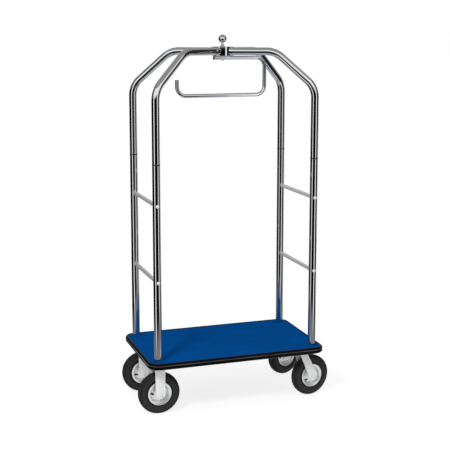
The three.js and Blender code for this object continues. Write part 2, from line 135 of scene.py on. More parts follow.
class Bench:
    """The modelling bench: one piece at a time, shaped in edit mode with Blender's own operators."""

    @staticmethod
    def clear() -> None:
        """Leave edit mode and deselect every object."""
        if bpy.context.mode != "OBJECT":
            bpy.ops.object.mode_set(mode="OBJECT")
        bpy.ops.object.select_all(action="DESELECT")

    @staticmethod
    def edit() -> None:
        """Enter edit mode with the whole active piece selected."""
        bpy.ops.object.mode_set(mode="EDIT")
        bpy.ops.mesh.select_all(action="SELECT")

    @staticmethod
    def named(name: str) -> Piece:
        """Name the piece that was just added.

        Args:
            name: The new name.

        Returns:
            The piece.
        """
        piece = bpy.context.active_object
        piece.name = name
        piece.data.name = name
        return piece

    @classmethod
    def take(cls, piece: Piece) -> None:
        """Make a piece the only selected and active one.

        Args:
            piece: The piece.
        """
        cls.clear()
        piece.select_set(True)
        bpy.context.view_layer.objects.active = piece

    @classmethod
    def draw(cls, name: str, points: Sequence[Vector], closed: bool) -> Piece:
        """Draw a line of edges, point by point, and stay in edit mode with all of it selected.

        Args:
            name: The piece's name.
            points: The line's points.
            closed: Whether the line returns to its first point.

        Returns:
            The new piece.
        """
        cls.clear()
        bpy.ops.mesh.primitive_plane_add(size=DRAFT_SIZE)
        piece = cls.named(name)
        cls.edit()
        bpy.ops.mesh.merge(type="CENTER")
        bpy.ops.transform.translate(value=points[0])
        route = [*points, points[0]] if closed else list(points)
        for here, there in zip(route, route[1:]):
            bpy.ops.mesh.extrude_vertices_move(TRANSFORM_OT_translate={"value": there - here})
        bpy.ops.mesh.select_all(action="SELECT")
        bpy.ops.mesh.remove_doubles(threshold=MERGE_DISTANCE)
        bpy.ops.mesh.select_all(action="SELECT")
        return piece

    @staticmethod
    def close() -> None:
        """Merge what meets, turn the faces outwards and leave edit mode."""
        bpy.ops.mesh.select_all(action="SELECT")
        bpy.ops.mesh.remove_doubles(threshold=MERGE_DISTANCE)
        bpy.ops.mesh.normals_make_consistent(inside=False)
        bpy.ops.object.mode_set(mode="OBJECT")

    @classmethod
    def turned(cls, name: str, outline: Profile, steps: int, ring: bool = False) -> Piece:
        """Turn an outline of (radius, height) pairs about the Z axis.

        Args:
            name: The piece's name.
            outline: The outline, which starts and ends on the axis, or is closed where ring is set.
            steps: How many facets the piece has round its axis.
            ring: Whether the outline is a closed loop away from the axis.

        Returns:
            The new piece.
        """
        piece = cls.draw(name, [Vector((radius, 0, height)) for radius, height in outline], ring)
        bpy.ops.mesh.spin(steps=steps, angle=FULL_TURN, center=(0, 0, 0), axis=(0, 0, 1))
        cls.close()
        return piece

    @classmethod
    def rod(cls, name: str, radius: float, low: float, high: float, steps: int) -> Piece:
        """Turn a plain rod, which cuts a hole."""
        return cls.turned(name, [(0, low), (radius, low), (radius, high), (0, high)], steps)

    @staticmethod
    def run(step: Vector) -> None:
        """Extrude what is selected along a straight run."""
        bpy.ops.mesh.extrude_region_move(TRANSFORM_OT_translate={"value": step})

    @staticmethod
    def bend(angle: float, centre: Vector, axis: Vector, steps: int) -> None:
        """Spin what is selected round a bend, right-handed about the axis."""
        bpy.ops.mesh.spin(steps=steps, angle=-angle, center=centre, axis=axis)

    @classmethod
    def bent_tube(cls, name: str, corners: Sequence[Vector], radius: float, bend: float,
                  sides: int, steps: int) -> Piece:
        """Draw a ring, extrude it along each straight run and spin it round each bend.

        Args:
            name: The piece's name.
            corners: The corners of the tube's centreline, from end to end.
            radius: The tube's outer radius.
            bend: The radius of every bend, at the centreline.
            sides: How many facets the tube has round its axis.
            steps: How many rings each bend has.

        Returns:
            The new piece, still in edit mode and open at both ends.
        """
        leaving = (corners[1] - corners[0]).normalized()
        turn = UP.rotation_difference(leaving).to_euler()
        cls.clear()
        bpy.ops.mesh.primitive_circle_add(vertices=sides, radius=radius, location=corners[0], rotation=turn)
        piece = cls.named(name)
        bpy.ops.object.transform_apply(location=True, rotation=True, scale=True)
        cls.edit()
        here = corners[0]
        for before, corner, after in zip(corners, corners[1:], corners[2:]):
            arriving = (corner - before).normalized()
            leaving = (after - corner).normalized()
            angle = arriving.angle(leaving)
            inset = bend * math.tan(angle / 2)
            start = corner - inset * arriving
            axis = arriving.cross(leaving).normalized()
            cls.run(start - here)
            cls.bend(angle, start + bend * axis.cross(arriving), axis, steps)
            here = corner + inset * leaving
        cls.run(corners[-1] - here)
        return piece

    @classmethod
    def cap(cls) -> None:
        """Fill both ends of an open tube and close it."""
        bpy.ops.mesh.select_all(action="SELECT")
        bpy.ops.mesh.fill_holes(sides=0)
        cls.close()

    @classmethod
    def slab(cls, name: str, outline: Sequence[Vector], step: Vector) -> Piece:
        """Fill a closed outline and extrude it.

        Args:
            name: The piece's name.
            outline: The outline's points, in one plane.
            step: How far, and which way, the face is extruded.

        Returns:
            The new piece, still in edit mode with the extruded face selected.
        """
        piece = cls.draw(name, outline, True)
        bpy.ops.mesh.edge_face_add()
        cls.run(step)
        return piece

    @classmethod
    def rounded_plate(cls, name: str, low: Vector, high: Vector, corner: float, segments: int) -> Piece:
        """Make a flat plate with rounded corners between two corners of its box.

        Args:
            name: The piece's name.
            low: The lowest corner of the box.
            high: The highest corner of the box.
            corner: The radius of the plate's corners.
            segments: How many chords each corner has.

        Returns:
            The new piece.
        """
        size = high - low
        seat = Vector(((low.x + high.x) / 2, (low.y + high.y) / 2, low.z))
        cls.clear()
        bpy.ops.mesh.primitive_plane_add(size=1, location=seat)
        piece = cls.named(name)
        bpy.ops.object.transform_apply(location=True, rotation=True, scale=True)
        cls.edit()
        bpy.ops.transform.resize(value=(size.x, size.y, 1), center_override=seat)
        bpy.ops.mesh.bevel(offset=corner, segments=segments, affect="VERTICES")
        bpy.ops.mesh.select_all(action="SELECT")
        cls.run(Vector((0, 0, size.z)))
        cls.close()
        return piece

    @classmethod
    def select_faces(cls, piece: Piece, test: Callable[[bmesh.types.BMFace], bool]) -> None:
        """Select the faces of a piece in edit mode that pass a test, and no others.

        Args:
            piece: The piece.
            test: Tells whether a face is selected.
        """
        bpy.ops.mesh.select_mode(type="FACE")
        bpy.ops.mesh.select_all(action="DESELECT")
        shape = bmesh.from_edit_mesh(piece.data)
        for face in shape.faces:
            face.select_set(test(face))
        bmesh.update_edit_mesh(piece.data)

    @classmethod
    def modify(cls, piece: Piece, kind: str, **settings: object) -> None:
        """Add a modifier to a piece, set it and apply it.

        Args:
            piece: The piece.
            kind: The modifier's type.
            settings: Its settings.
        """
        cls.take(piece)
        made = piece.modifiers.new(kind.lower(), kind)
        for name, value in settings.items():
            setattr(made, name, value)
        bpy.ops.object.modifier_apply(modifier=made.name)

    @classmethod
    def work(cls, piece: Piece, tool: Piece, operation: Operation) -> None:
        """Cut a tool out of a piece, or weld it on, and put the tool away."""
        cls.modify(piece, "BOOLEAN", operation=operation.value, object=tool, solver="EXACT")
        cls.put_away(tool)

    @staticmethod
    def put_away(*pieces: Piece) -> None:
        """Remove tools, or masters that have been copied."""
        for piece in pieces:
            bpy.data.objects.remove(piece)

    @classmethod
    def joined(cls, pieces: Sequence[Piece], name: str) -> Piece:
        """Join pieces into one.

        Args:
            pieces: The pieces.
            name: The name of the whole.

        Returns:
            The whole.
        """
        cls.take(pieces[0])
        for piece in pieces[1:]:
            piece.select_set(True)
        bpy.ops.object.join()
        return cls.named(name)

    @classmethod
    def ease(cls, piece: Piece, width: float, segments: int = 2, angle: float = 40) -> None:
        """Round the sharp edges of a piece."""
        cls.modify(piece, "BEVEL", width=width, segments=segments, limit_method="ANGLE",
                   angle_limit=math.radians(angle))

    @classmethod
    def polish(cls, piece: Piece, angle: float = 32) -> None:
        """Shade a piece smooth but for edges sharper than an angle, with its large faces kept true.

        Args:
            piece: The piece.
            angle: The angle, in degrees.
        """
        cls.take(piece)
        bpy.ops.object.shade_smooth_by_angle(angle=math.radians(angle))
        cls.modify(piece, "WEIGHTED_NORMAL", keep_sharp=True)

    @classmethod
    def place(cls, piece: Piece, move: Matrix) -> Piece:
        """Move a piece's mesh and leave its object at the origin.

        Args:
            piece: The piece.
            move: Where its mesh goes.

        Returns:
            The piece.
        """
        cls.clear()
        piece.data.transform(move)
        if move.determinant() < 0:
            piece.data.flip_normals()
        return piece

    @classmethod
    def copied(cls, piece: Piece, name: str, move: Matrix) -> Piece:
        """Copy a piece with a mesh of its own.

        Args:
            piece: The piece that is copied.
            name: The copy's name.
            move: Where the copy goes.

        Returns:
            The copy.
        """
        twin = piece.copy()
        twin.data = piece.data.copy()
        twin.name = name
        twin.data.name = name
        bpy.context.scene.collection.objects.link(twin)
        return cls.place(twin, move)


class Wire:
    """A node's output, on which Python's operators add Math nodes."""

    def __init__(self, recipe: "Recipe", socket: bpy.types.NodeSocket) -> None:
        """Keep the recipe that the output belongs to."""
        self.recipe = recipe
        self.socket = socket

    def __add__(self, other: "Wire | float") -> "Wire":
        """Add."""
        return self.recipe.math("ADD", self, other)

    def __radd__(self, other: float) -> "Wire":
        """Add to a number."""
        return self.recipe.math("ADD", other, self)

    def __sub__(self, other: "Wire | float") -> "Wire":
        """Subtract."""
        return self.recipe.math("SUBTRACT", self, other)

    def __rsub__(self, other: float) -> "Wire":
        """Subtract from a number."""
        return self.recipe.math("SUBTRACT", other, self)

    def __mul__(self, other: "Wire | float") -> "Wire":
        """Multiply."""
        return self.recipe.math("MULTIPLY", self, other)

    def __rmul__(self, other: float) -> "Wire":
        """Multiply a number."""
        return self.recipe.math("MULTIPLY", other, self)

    def __truediv__(self, other: "Wire | float") -> "Wire":
        """Divide."""
        return self.recipe.math("DIVIDE", self, other)

    def __pow__(self, other: float) -> "Wire":
        """Raise to a power."""
        return self.recipe.math("POWER", self, other)


Colour = tuple[float, float, float, float]
Value = Wire | float | Colour | Triple


def grey(level: float) -> Colour:
    """Give an opaque grey of a level."""
    return (level, level, level, 1)


class Recipe:
    """The node tree of one material or of the world, filled a node at a time."""

    def __init__(self, tree: bpy.types.NodeTree) -> None:
        """Start from an empty tree."""
        self.tree = tree
        tree.nodes.clear()

    def node(self, kind: str, settings: dict[str, object] | None = None,
             inputs: dict[str | int, Value] | None = None, give: str | int = 0) -> Wire:
        """Add a node.

        Args:
            kind: The node's type.
            settings: Its settings, which are set first. A ramp's stops are (position, colour) pairs.
            inputs: The values or links of its sockets, by name or number.
            give: The output that is given back.

        Returns:
            The node's output.
        """
        made = self.tree.nodes.new(kind)
        for name, value in (settings or {}).items():
            if name == "stops":
                self.set_stops(made.color_ramp, value)
            else:
                setattr(made, name, value)
        for name, value in (inputs or {}).items():
            if isinstance(value, Wire):
                self.tree.links.new(value.socket, made.inputs[name])
            else:
                made.inputs[name].default_value = value
        return Wire(self, made.outputs[give]) if made.outputs else Wire(self, made.inputs[0])

    @staticmethod
    def set_stops(ramp: bpy.types.ColorRamp, stops: Sequence[tuple[float, Colour]]) -> None:
        """Give a colour ramp its stops, in order.

        Args:
            ramp: The ramp.
            stops: Its (position, colour) pairs.
        """
        while len(ramp.elements) < len(stops):
            ramp.elements.new(1)
        for element, (position, colour) in zip(ramp.elements, stops):
            element.position = position
            element.color = colour

    def math(self, operation: str, first: Wire | float, second: Wire | float) -> Wire:
        """Add a Math node."""
        return self.node("ShaderNodeMath", {"operation": operation}, {0: first, 1: second})

    def clamp(self, value: Wire) -> Wire:
        """Hold a value between 0 and 1."""
        return self.node("ShaderNodeClamp", None, {"Value": value})

    def mix(self, share: Wire | float, first: Wire | Colour, second: Wire | Colour) -> Wire:
        """Mix two colours by a share from 0, the first, to 1, the second."""
        return self.node("ShaderNodeMix", {"data_type": "RGBA"}, {0: share, 6: first, 7: second}, 2)

    def place(self) -> Wire:
        """Give the place on the piece, in metres."""
        return self.node("ShaderNodeTexCoord", None, None, "Object")

    def stretched(self, scale: Triple) -> Wire:
        """Give the place on the piece, stretched along its axes."""
        return self.node("ShaderNodeMapping", None, {"Vector": self.place(), "Scale": scale})

    def noise(self, place: Wire, scale: float, detail: float = 2, roughness: float = 0.5) -> Wire:
        """Give soft noise of a scale in cycles a metre."""
        sockets = {"Vector": place, "Scale": scale, "Detail": detail, "Roughness": roughness}
        return self.node("ShaderNodeTexNoise", None, sockets, "Fac")

    def cells(self, scale: float, give: str) -> Wire:
        """Give an output of a pattern of cells, of a scale in cells a metre."""
        return self.node("ShaderNodeTexVoronoi", None, {"Vector": self.place(), "Scale": scale}, give)

    def parts(self) -> list[Wire]:
        """Give the place on the piece as X, Y and Z."""
        return [self.node("ShaderNodeSeparateXYZ", None, {"Vector": self.place()}, axis) for axis in "XYZ"]

    def bump(self, height: Wire, strength: float, distance: float) -> Wire:
        """Turn a height into a bumped normal."""
        sockets = {"Height": height, "Strength": strength, "Distance": distance}
        return self.node("ShaderNodeBump", None, sockets)


@dataclass(frozen=True)
class Finish:
    """A finish of the cart's pieces: its name, its colour, its gloss and how far its colour varies."""

    name: str
    colour: Triple
    roughness: float
    metallic: float = 0.0
    tints: Point = (1.0, 1.0)

    def make(self) -> bpy.types.Material:
        """Make the material.

        Returns:
            The new material.
        """
        material = bpy.data.materials.new(f"{self.name}_finish")
        material.use_nodes = True
        recipe = Recipe(material.node_tree)
        sockets = {"Metallic": self.metallic, **self.sockets(recipe)}
        surface = recipe.node("ShaderNodeBsdfPrincipled", None, sockets)
        recipe.node("ShaderNodeOutputMaterial", None, {"Surface": surface})
        return material

    def sockets(self, recipe: Recipe) -> dict[str, Value]:
        """Give the shader's sockets that the finish sets."""
        return {"Base Color": (*self.colour, 1), "Roughness": self.roughness}

    def shade(self, share: float) -> Colour:
        """Give the finish's colour, lighter or darker."""
        return (*(min(1.0, channel * share) for channel in self.colour), 1)

    def tinted(self, recipe: Recipe, share: Wire) -> Wire:
        """Vary the finish's colour between its two tints."""
        darker, lighter = self.tints
        return recipe.mix(share, self.shade(darker), self.shade(lighter))


@dataclass(frozen=True)
class Chrome(Finish):
    """Polished plating with faint wiping marks and a trace of haze."""

    tints: Point = (0.96, 1.03)
    haze: float = 0.03
    haze_gain: float = 1.8
    haze_floor: float = 0.45
    clouds_per_metre: float = 7
    marks_per_metre: float = 60
    mark_stretch: Triple = (1, 1, 0.12)
    mark_roughness: float = 0.02
    waves_per_metre: float = 18
    wave_stretch: Triple = (1, 1, 0.3)
    wave_strength: float = 0.25
    wave: float = 0.00004

    def sockets(self, recipe: Recipe) -> dict[str, Value]:
        """Give the shader's sockets that the finish sets.

        Args:
            recipe: The material's recipe.

        Returns:
            The sockets' values or links, by name.
        """
        wiped = recipe.noise(recipe.stretched(self.mark_stretch), self.marks_per_metre, 4)
        cloud = recipe.noise(recipe.place(), self.clouds_per_metre, 3)
        haze = recipe.clamp(cloud * self.haze_gain - self.haze_floor) * self.haze
        wave = recipe.noise(recipe.stretched(self.wave_stretch), self.waves_per_metre, 1)
        return {"Base Color": self.tinted(recipe, cloud),
                "Roughness": self.roughness + haze + wiped * self.mark_roughness,
                "Normal": recipe.bump(wave, self.wave_strength, self.wave)}


@dataclass(frozen=True)
class BrushedSteel(Finish):
    """Steel with fine drawn lines along its length."""

    tints: Point = (0.86, 1.12)
    lines: Triple = (1, 0.02, 1)
    lines_per_metre: float = 900
    line_share: float = 0.6
    line_roughness: float = 0.16
    line_strength: float = 0.2
    line_depth: float = 0.0001
    clouds_per_metre: float = 14

    def sockets(self, recipe: Recipe) -> dict[str, Value]:
        """Give the shader's sockets that the finish sets.

        Args:
            recipe: The material's recipe.

        Returns:
            The sockets' values or links, by name.
        """
        drawn = recipe.noise(recipe.stretched(self.lines), self.lines_per_metre, 3, 0.6)
        cloud = recipe.noise(recipe.place(), self.clouds_per_metre, 3)
        share = drawn * self.line_share + cloud * (1 - self.line_share)
        return {"Base Color": self.tinted(recipe, share),
                "Roughness": self.roughness - self.line_roughness / 2 + drawn * self.line_roughness,
                "Normal": recipe.bump(drawn, self.line_strength, self.line_depth)}


@dataclass(frozen=True)
class ZincPlate(Finish):
    """Bright zinc on pressed steel, with a faint crystal grain and dull patches."""

    tints: Point = (0.88, 1.08)
    grain_per_metre: float = 160
    patches_per_metre: float = 22
    patch_share: float = 0.75
    patch_roughness: float = 0.14
    pores_per_metre: float = 700
    pore_strength: float = 0.15
    pore_depth: float = 0.0001

    def sockets(self, recipe: Recipe) -> dict[str, Value]:
        """Give the shader's sockets that the finish sets.

        Args:
            recipe: The material's recipe.

        Returns:
            The sockets' values or links, by name.
        """
        grain = recipe.cells(self.grain_per_metre, "Color")
        crystal = recipe.node("ShaderNodeSeparateColor", None, {"Color": grain}, "Red")
        patch = recipe.noise(recipe.place(), self.patches_per_metre, 4)
        pores = recipe.noise(recipe.place(), self.pores_per_metre, 3)
        share = crystal * (1 - self.patch_share) + patch * self.patch_share
        return {"Base Color": self.tinted(recipe, share),
                "Roughness": self.roughness + patch * self.patch_roughness - self.patch_roughness / 2,
                "Normal": recipe.bump(pores, self.pore_strength, self.pore_depth)}


@dataclass(frozen=True)
class TyreRubber(Finish):
    """Moulded rubber, greyed in places by floor dust."""

    dust: Triple = (0.075, 0.073, 0.07)
    dust_gain: float = 1.6
    dust_floor: float = 0.75
    dust_share: float = 0.35
    clouds_per_metre: float = 30
    cloud_roughness: float = 0.16
    grain_per_metre: float = 900
    grain_strength: float = 0.35
    grain_depth: float = 0.0003
    specular: float = 0.3

    def sockets(self, recipe: Recipe) -> dict[str, Value]:
        """Give the shader's sockets that the finish sets.

        Args:
            recipe: The material's recipe.

        Returns:
            The sockets' values or links, by name.
        """
        cloud = recipe.noise(recipe.place(), self.clouds_per_metre, 4, 0.6)
        grain = recipe.noise(recipe.place(), self.grain_per_metre, 3)
        dusty = recipe.clamp(cloud * self.dust_gain - self.dust_floor) * self.dust_share
        return {"Base Color": recipe.mix(dusty, (*self.colour, 1), (*self.dust, 1)),
                "Roughness": self.roughness + cloud * self.cloud_roughness - self.cloud_roughness / 2,
                "Specular IOR Level": self.specular,
                "Normal": recipe.bump(grain, self.grain_strength, self.grain_depth)}


@dataclass(frozen=True)
class MouldedRubber(Finish):
    """Smooth extruded rubber with scuffs, and a painted highlight: a grey line along its front."""

    scuffs_per_metre: float = 45
    scuff_stretch: Triple = (1, 1, 4)
    scuff_gain: float = 3
    scuff_floor: float = 1.75
    scuff_share: float = 0.5
    scuff_shade: float = 2.2
    scuff_roughness: float = 0.2
    # The next fields set a painted highlight: a grey line at a set height along the bumper's front, broken up
    # by noise.
    painted_highlight_height: float = 0.0
    painted_highlight_half: float = 0.0026
    painted_highlight_colour: Triple = (0.1, 0.098, 0.1)
    highlight_breaks_per_metre: float = 5
    highlight_break_gain: float = 2.4
    highlight_break_floor: float = 0.5
    grain_per_metre: float = 600
    grain_strength: float = 0.2
    grain_depth: float = 0.0002
    specular: float = 0.1

    def sockets(self, recipe: Recipe) -> dict[str, Value]:
        """Give the shader's sockets that the finish sets.

        Args:
            recipe: The material's recipe.

        Returns:
            The sockets' values or links, by name.
        """
        scuff = recipe.noise(recipe.stretched(self.scuff_stretch), self.scuffs_per_metre, 5, 0.65)
        grain = recipe.noise(recipe.place(), self.grain_per_metre, 2)
        worn = recipe.clamp(scuff * self.scuff_gain - self.scuff_floor)
        tint = recipe.mix(worn * self.scuff_share, (*self.colour, 1), self.shade(self.scuff_shade))
        # Painted highlight: a grey band at a set height on the bumper's front, broken up by noise.
        off = (recipe.parts()[2] - self.painted_highlight_height) / self.painted_highlight_half
        patchy = recipe.noise(recipe.place(), self.highlight_breaks_per_metre, 3)
        painted_highlight = recipe.clamp(1 - off * off) * recipe.clamp(patchy * self.highlight_break_gain - self.highlight_break_floor)
        return {"Base Color": recipe.mix(painted_highlight, tint, (*self.painted_highlight_colour, 1)),
                "Roughness": self.roughness + worn * self.scuff_roughness,
                "Specular IOR Level": self.specular,
                "Normal": recipe.bump(grain, self.grain_strength, self.grain_depth)}


@dataclass(frozen=True)
class CarpetPile(Finish):
    """Short cut pile: tufts and loose fibres, with painted shade in broad patches and between the tufts."""

    tints: Point = (0.8, 1.2)
    tufts_per_metre: float = 420
    fibres_per_metre: float = 1500
    naps_per_metre: float = 5
    nap_stretch: Triple = (1, 2.2, 1)
    nap_shade_share: float = 0.9
    fibre_share: float = 0.35
    tuft_shade_share: float = 0.3
    share_floor: float = 0.05
    fibre_height: float = 0.6
    tuft_height: float = 0.8
    pile_strength: float = 0.7
    pile_depth: float = 0.0015

    def sockets(self, recipe: Recipe) -> dict[str, Value]:
        """Give the shader's sockets that the finish sets.

        Args:
            recipe: The material's recipe.

        Returns:
            The sockets' values or links, by name.
        """
        tuft = recipe.cells(self.tufts_per_metre, "Distance")
        fibre = recipe.noise(recipe.place(), self.fibres_per_metre, 4, 0.7)
        nap_shade = recipe.noise(recipe.stretched(self.nap_stretch), self.naps_per_metre, 3, 0.55)
        # The nap term is painted shade in broad patches; the tuft term is painted shade between the tufts,
        # where the pile is lower; the fibre term is the pile's own tone, varying at random.
        share = nap_shade * self.nap_shade_share + fibre * self.fibre_share - tuft * self.tuft_shade_share - self.share_floor
        height = fibre * self.fibre_height - tuft * self.tuft_height
        return {"Base Color": self.tinted(recipe, recipe.clamp(share)), "Roughness": self.roughness,
                "Specular IOR Level": 0.0,
                "Normal": recipe.bump(height, self.pile_strength, self.pile_depth)}


@dataclass(frozen=True)
class StainedPly(Finish):
    """Dark stained plywood with a long grain."""

    tints: Point = (0.6, 1.4)
    grain_stretch: Triple = (0.06, 1, 1)
    grain_per_metre: float = 120
    grain_share: float = 0.7
    grain_gloss: float = 0.15
    grain_strength: float = 0.3
    grain_depth: float = 0.0004
    plies_per_metre: float = 40

    def sockets(self, recipe: Recipe) -> dict[str, Value]:
        """Give the shader's sockets that the finish sets.

        Args:
            recipe: The material's recipe.

        Returns:
            The sockets' values or links, by name.
        """
        grain = recipe.noise(recipe.stretched(self.grain_stretch), self.grain_per_metre, 5, 0.6)
        ply = recipe.node("ShaderNodeTexWave", {"bands_direction": "Z"},
                          {"Vector": recipe.place(), "Scale": self.plies_per_metre}, "Fac")
        share = grain * self.grain_share + ply * (1 - self.grain_share)
        return {"Base Color": self.tinted(recipe, share),
                "Roughness": self.roughness - grain * self.grain_gloss,
                "Normal": recipe.bump(grain, self.grain_strength, self.grain_depth)}


@dataclass(frozen=True)
class MouldedPlastic(Finish):
    """Fine-grained moulded plastic."""

    tints: Point = (0.85, 1.2)
    grain_per_metre: float = 1800
    grain_roughness: float = 0.1
    grain_strength: float = 0.25
    grain_depth: float = 0.0002

    def sockets(self, recipe: Recipe) -> dict[str, Value]:
        """Give the shader's sockets that the finish sets.

        Args:
            recipe: The material's recipe.

        Returns:
            The sockets' values or links, by name.
        """
        grain = recipe.noise(recipe.place(), self.grain_per_metre, 2)
        return {"Base Color": self.tinted(recipe, grain),
                "Roughness": self.roughness + grain * self.grain_roughness,
                "Normal": recipe.bump(grain, self.grain_strength, self.grain_depth)}


class Finishes:
    """The cart's finishes, each made once."""

    # How far below the bumper's top the painted highlight runs.
    painted_highlight_drop: float = 0.0115

    def __init__(self) -> None:
        """Make every finish."""
        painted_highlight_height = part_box("edge_bumper")[1].z - self.painted_highlight_drop
        recipes: list[Finish] = [
            Chrome("chrome", (0.86, 0.865, 0.875), 0.02, 1.0),
            BrushedSteel("satin_steel", (0.66, 0.66, 0.665), 0.3, 0.55),
            ZincPlate("zinc", (0.93, 0.935, 0.94), 0.32, 0.3),
            ZincPlate("rim_zinc", (0.9, 0.905, 0.91), 0.26, 0.65),
            BrushedSteel("dark_steel", (0.006, 0.006, 0.0065), 0.42, 0.2),
            TyreRubber("tyre", (0.021, 0.02, 0.0215), 0.62),
            MouldedRubber("bumper", (0.0016, 0.0015, 0.002), 0.22, painted_highlight_height=painted_highlight_height),
            CarpetPile("carpet", (0.0013, 0.066, 0.262), 0.95),
            StainedPly("plywood", (0.035, 0.026, 0.019), 0.75),
            MouldedPlastic("black_plastic", (0.008, 0.008, 0.0085), 0.42),
        ]
        self.materials = {finish.name: finish.make() for finish in recipes}

    def dress(self, piece: Piece, slot: str, body: str, *nodes: str, finish: str = "") -> Piece:
        """Give a piece its finish, the body that it rides on and the nodes that it stands for.

        Args:
            piece: The piece.
            slot: The record's slot of its finish.
            body: The body that carries it.
            nodes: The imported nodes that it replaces.
            finish: The finish's name, where it isn't the slot's.

        Returns:
            The piece.
        """
        piece.data.materials.clear()
        piece.data.materials.append(self.materials[finish or slot])
        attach(piece, body)
        if nodes:
            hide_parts(*nodes)
        LOG.info("%s on %s, %d faces", piece.name, body, len(piece.data.polygons))
        return piece


@dataclass
class Deck:
    """The board, its carpet and the rubber bumper round its edge."""

    finishes: Finishes
    corner: float = 0.047
    corner_segments: int = 12
    carpet_edge: float = 0.0022
    post_hole: float = 0.0196
    hole_spare: float = 0.01
    hole_steps: int = 40
    bumper_depth: float = 0.011
    bumper_fit: float = 0.0003
    bumper_round: float = 0.62
    round_stop: float = 8
    round_steps: int = 8
    bead_depth: float = 0.0011
    bead_lip: float = 0.2
    bead_outer: float = 0.24
    bead_inner: float = 0.12
    facing_down: float = -0.9

    def build(self) -> None:
        """Model and dress the deck."""
        self.dress_board()
        self.carpet()
        self.bumper()

    def dress_board(self) -> None:
        """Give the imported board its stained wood."""
        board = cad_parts["deck_board"]
        board.data.materials.clear()
        board.data.materials.append(self.finishes.materials["plywood"])
        LOG.info("deck_board kept, with stained plywood")

    def carpet(self) -> None:
        """Lay the carpet, cut out round the posts."""
        low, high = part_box("deck_carpet")
        corner_radius = self.corner - self.bumper_fit
        piece = Bench.rounded_plate("carpet_pad", low, high, corner_radius, self.corner_segments)
        for corner in Corner:
            post = middle(f"lower_post_{corner.value}")
            tool = Bench.rod("post_hole", self.post_hole, low.z - self.hole_spare, high.z + self.hole_spare,
                             self.hole_steps)
            Bench.place(tool, Matrix.Translation((post.x, post.y, 0)))
            Bench.work(piece, tool, Operation.CUT)
        Bench.ease(piece, self.carpet_edge, segments=3, angle=60)
        Bench.polish(piece, angle=40)
        self.finishes.dress(piece, "carpet", Body.FRAME.value, "deck_carpet")

    def bumper_section(self, low: float, high: float) -> list[Point]:
        """Give the bumper's section as (depth, height) pairs.

        Args:
            low: The height of its lower edge.
            high: The height of its upper edge.

        Returns:
            The closed section, from the inside round the front.
        """
        half = (high - low) / 2
        waist = (low + high) / 2
        radius = half * self.bumper_round
        front = self.bumper_depth
        upper = arc((front - radius, high - radius), radius, 90, self.round_stop, self.round_steps)
        lower = arc((front - radius, low + radius), radius, -self.round_stop, -90, self.round_steps)
        lip = front - self.bead_depth * self.bead_lip
        floor = front - self.bead_depth
        bead = [(lip, waist + half * self.bead_outer), (floor, waist + half * self.bead_inner),
                (floor, waist - half * self.bead_inner), (lip, waist - half * self.bead_outer)]
        return [(self.bumper_fit, low), (self.bumper_fit, high), *upper, *bead, *lower]

    def bumper(self) -> None:
        """Sweep the bumper's section along the sides and round the corners."""
        low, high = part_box("edge_bumper")
        board_low, board_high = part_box("deck_board")
        left = board_low.x + self.corner
        right = board_high.x - self.corner
        front = board_low.y
        pairs = self.bumper_section(low.z, high.z)
        section = [Vector((left, front - depth, height)) for depth, height in pairs]
        piece = Bench.draw("bumper_strip", section, True)
        along = right - left
        across = board_high.y - board_low.y - 2 * self.corner
        centre = Vector((left, front + self.corner, 0))
        for side in ((along, 0, 0), (0, across, 0), (-along, 0, 0), (0, -across, 0)):
            centre = centre + Vector(side)
            Bench.run(Vector(side))
            Bench.bend(QUARTER_TURN, centre, UP, self.corner_segments)
        Bench.close()
        Bench.polish(piece, angle=45)
        self.finishes.dress(piece, "bumper", Body.FRAME.value, "edge_bumper")


